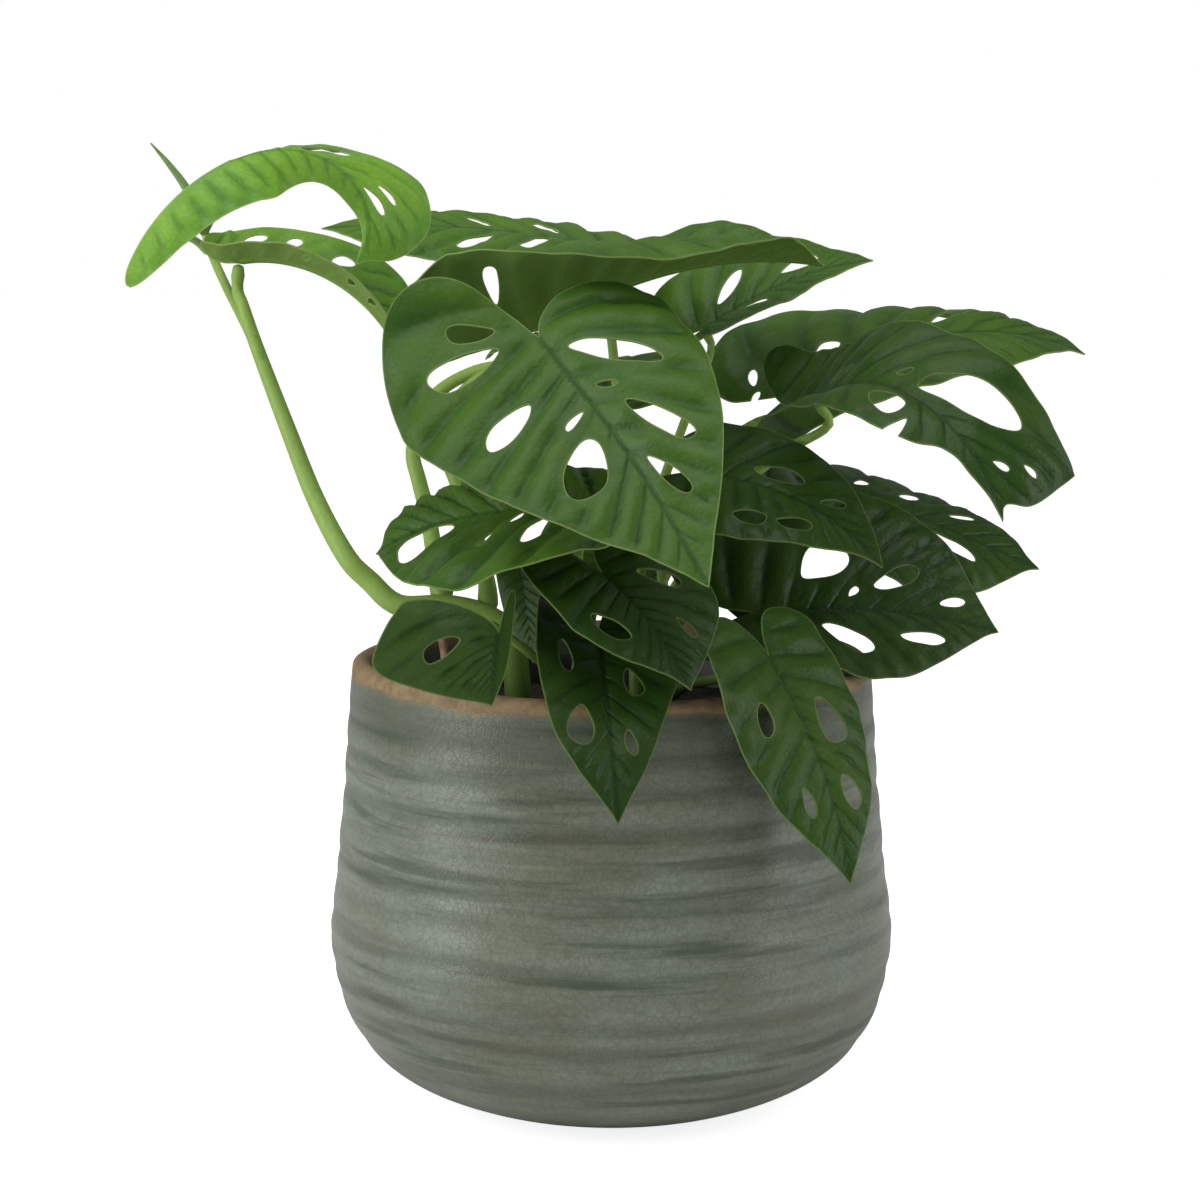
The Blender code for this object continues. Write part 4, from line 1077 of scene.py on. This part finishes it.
class MONSTERA_OT_vines(bpy.types.Operator):
    """Builds the vines and their petioles"""
    bl_idname = "monstera.vines"
    bl_label = "Vines"

    def execute(self, context):
        vine = context.scene.monstera_vine
        material = stem_material(vine)
        leaves = {leaf.name: leaf for leaf in LEAVES}
        for name, limbs in VINES.items():
            work = bmesh.new()
            for number, limb in enumerate(limbs):
                points = [Vector(p) for p in limb.points]
                if limb.leaf:
                    _, base, along, _, up = frame_at(leaf_spine(leaves[limb.leaf]), 0.0)
                    end = base - up * limb.end_radius
                    points.append(end - up * NECK - along * NECK * 0.3)
                    points.append(end)
                curve = resampled(spline(points, CURVE_STEPS), vine.step / MM)
                radii = tube_radii(curve, limb.start_radius, limb.end_radius, number > 0)
                curve, radii = domed(curve, radii)
                add_tube(work, curve, radii, vine.sides)
            finish_piece(f"{name}_stem", closed_mesh(name, work), material, (name,))
        return {"FINISHED"}


class MONSTERA_OT_pot(bpy.types.Operator):
    """Builds the thrown pot with its rings and lip"""
    bl_idname = "monstera.pot"
    bl_label = "Pot"

    def execute(self, context):
        pot = context.scene.monstera_pot
        side = spline([(r, z, 0) for z, r in POT_SIDE], PROFILE_STEPS)
        outer = [(p.x, p.y) for p in resampled(side, PROFILE_STEP)]
        mouth = POT_SIDE[-1][1]
        lip = []
        for i in range(1, LIP_STEPS):
            turn = math.pi * i / LIP_STEPS
            lip.append((mouth - POT_WALL / 2 + LIP_RADIUS * math.cos(turn),
                        POT_HEIGHT - LIP_RADIUS + LIP_RADIUS * math.sin(turn)))
        inner = [(mouth - POT_WALL, POT_HEIGHT - LIP_RADIUS)]
        inner += [(r - POT_WALL, z) for z, r in reversed(POT_SIDE[3:-1])]
        floor = [(POT_FLOOR_RADIUS, POT_FLOOR), (0.0, POT_FLOOR)]
        profile = [(0.0, 0.0)] + outer + lip + inner + floor
        work = spun_mesh(profile, pot.segments)
        layer = work.verts.layers.float.new("ring")
        for vert in work.verts:
            x, y, z = (c / MM for c in vert.co)
            radius = math.hypot(x, y)
            if radius < 1:
                continue
            turn = math.atan2(y, x)
            drift = RING_TILT * math.sin(turn + 0.6)
            drift += RING_WANDER * noise.noise(Vector((x, y, z)) / WANDER_SIZE)
            groove = 0.0
            for height, strength in THROWING_RINGS:
                groove += strength * math.exp(-((z + drift - height) / RING_WIDTH) ** 2)
            outside = radius > mouth - POT_WALL / 2 or z < POT_FOOT
            vert[layer] = min(groove, 1.0) if outside else 0.0
            ringed = outside and RING_LOW < z < RING_HIGH
            push = -pot.ring_depth / MM * groove if ringed else 0.0
            uneven = noise.noise(Vector((x, y, z * 1.5)) / UNEVEN_SIZE)
            push += WALL_UNEVEN * uneven * smooth(*FOOT_FADE, z)
            vert.co.x *= (radius + push) / radius
            vert.co.y *= (radius + push) / radius
            lift = math.sin(2 * turn + 0.8) + 0.6 * noise.noise(Vector((x, y, 7)) / LIP_WAVE_SIZE)
            vert.co.z += pot.wobble * lift * smooth(LIP_START, POT_HEIGHT, z)
        finish_piece("pot_body", closed_mesh("pot_body", work), pot_material(pot), ("pot",))
        return {"FINISHED"}


class MONSTERA_OT_soil(bpy.types.Operator):
    """Builds the nursery pot's rim and the soil in it"""
    bl_idname = "monstera.soil"
    bl_label = "Soil and nursery pot"

    def execute(self, context):
        profile = [(0.0, SOIL_BOTTOM), (SOIL_RADIUS - 2, SOIL_BOTTOM), (SOIL_RADIUS, SOIL_TOP)]
        for i in range(1, SOIL_RINGS + 1):
            share = 1 - i / SOIL_RINGS
            profile.append((SOIL_RADIUS * share, SOIL_TOP + SOIL_CROWN * (1 - share ** 2)))
        work = spun_mesh(profile, SOIL_SEGMENTS)
        for vert in work.verts:
            if vert.co.z > (SOIL_TOP - 0.5) * MM:
                place = vert.co / MM
                lump = noise.fractal(place / SOIL_LUMP_SIZE, 1.0, 2.0, 4)
                vert.co.z += SOIL_LUMP * lump * MM
        finish_piece("soil_fill", closed_mesh("soil_fill", work), plain_material("Peat"), ("soil",))
        work = spun_mesh(LINER, LINER_SEGMENTS)
        finish_piece("nursery_cup", closed_mesh("nursery_cup", work),
                     plain_material("Black plastic"), ("nursery_pot",))
        return {"FINISHED"}


class MONSTERA_OT_small_pieces(bpy.types.Operator):
    """Builds the dry stick, the sheath and the rolled shoot"""
    bl_idname = "monstera.small_pieces"
    bl_label = "Stick, sheath and shoot"

    def execute(self, context):
        for name, path, radii, look, node, slot in SMALL_PIECES:
            curve = resampled(spline(path, CURVE_STEPS), 1.0)
            last = len(curve) - 1
            sizes = []
            for i in range(last + 1):
                place = i / last * (len(radii) - 1)
                k = min(int(place), len(radii) - 2)
                sizes.append(lerp(radii[k], radii[k + 1], place - k))
            curve, sizes = domed(curve, sizes)
            work = bmesh.new()
            add_tube(work, curve, sizes, ROUND_SIDES)
            finish_piece(name, closed_mesh(name, work), plain_material(look), (node,))
        return {"FINISHED"}


class MONSTERA_OT_stage(bpy.types.Operator):
    """Builds the floor, the soft lights and the camera"""
    bl_idname = "monstera.stage"
    bl_label = "Stage"

    def execute(self, context):
        stage = context.scene.monstera_stage
        work = bmesh.new()
        bmesh.ops.create_grid(work, x_segments=1, y_segments=1, size=FLOOR_HALF)
        floor = new_object("floor", new_mesh("floor", work))
        material, nodes, shader = new_material("Pale floor")
        shader["Base Color"].default_value = FLOOR_COLOUR
        shader["Roughness"].default_value = 0.9
        shader["Emission Color"].default_value = WHITE
        seen = nodes.made("ShaderNodeLightPath", "Is Camera Ray")
        nodes.put(shader["Emission Strength"], nodes.times(seen, stage.ground))
        floor.data.materials.append(material)
        world = bpy.data.worlds.new("Studio")
        world.use_nodes = True
        nodes = Nodes(world.node_tree)
        seen = nodes.made("ShaderNodeLightPath", "Is Camera Ray")
        background = world.node_tree.nodes["Background"].inputs
        background["Color"].default_value = WHITE
        strength = nodes.math("MULTIPLY_ADD", seen, stage.backdrop - stage.surround, stage.surround)
        nodes.put(background["Strength"], strength)
        context.scene.world = world
        context.scene.view_settings.view_transform = "Standard"
        for name, size, place in LIGHTS:
            light = bpy.data.lights.new(name, "AREA")
            light.energy = getattr(stage, name)
            light.shape = "RECTANGLE"
            light.size, light.size_y = size
            lamp = new_object(name, light)
            lamp.location = place
            aim = Vector((0, 0, AIM_HEIGHT)) - Vector(place)
            lamp.rotation_euler = aim.to_track_quat("-Z", "Y").to_euler()
        data = bpy.data.cameras.new("camera")
        data.lens = stage.lens
        data.sensor_width = 36.0
        camera = new_object("camera", data)
        camera.location = (stage.camera_side, -stage.camera_distance, stage.camera_height)
        camera.rotation_euler = (math.pi / 2 - stage.tilt, 0, 0)
        context.scene.camera = camera
        return {"FINISHED"}


OPERATORS = (MONSTERA_OT_pot, MONSTERA_OT_soil, MONSTERA_OT_vines, MONSTERA_OT_blades,
             MONSTERA_OT_small_pieces, MONSTERA_OT_stage)


class MONSTERA_PT_panel(bpy.types.Panel):
    """Lists the pieces that can be built"""
    bl_idname = "MONSTERA_PT_panel"
    bl_label = "Monstera"
    bl_space_type = "VIEW_3D"
    bl_region_type = "UI"
    bl_category = "Monstera"

    def draw(self, context):
        for operator in OPERATORS:
            self.layout.operator(operator.bl_idname)


SETTINGS = {"monstera_blade": MonsteraBladeSettings, "monstera_vine": MonsteraVineSettings,
            "monstera_pot": MonsteraPotSettings, "monstera_stage": MonsteraStageSettings}


def register():
    for cls in (*SETTINGS.values(), *OPERATORS, MONSTERA_PT_panel):
        bpy.utils.register_class(cls)
    for name, cls in SETTINGS.items():
        setattr(bpy.types.Scene, name, PointerProperty(type=cls))


def unregister():
    for name in SETTINGS:
        delattr(bpy.types.Scene, name)
    for cls in reversed((*SETTINGS.values(), *OPERATORS, MONSTERA_PT_panel)):
        bpy.utils.unregister_class(cls)


def main():
    register()
    bpy.ops.monstera.pot()
    bpy.ops.monstera.soil()
    bpy.ops.monstera.vines()
    bpy.ops.monstera.blades()
    bpy.ops.monstera.small_pieces()
    bpy.ops.monstera.stage()


if __name__ == "__main__":
    main()
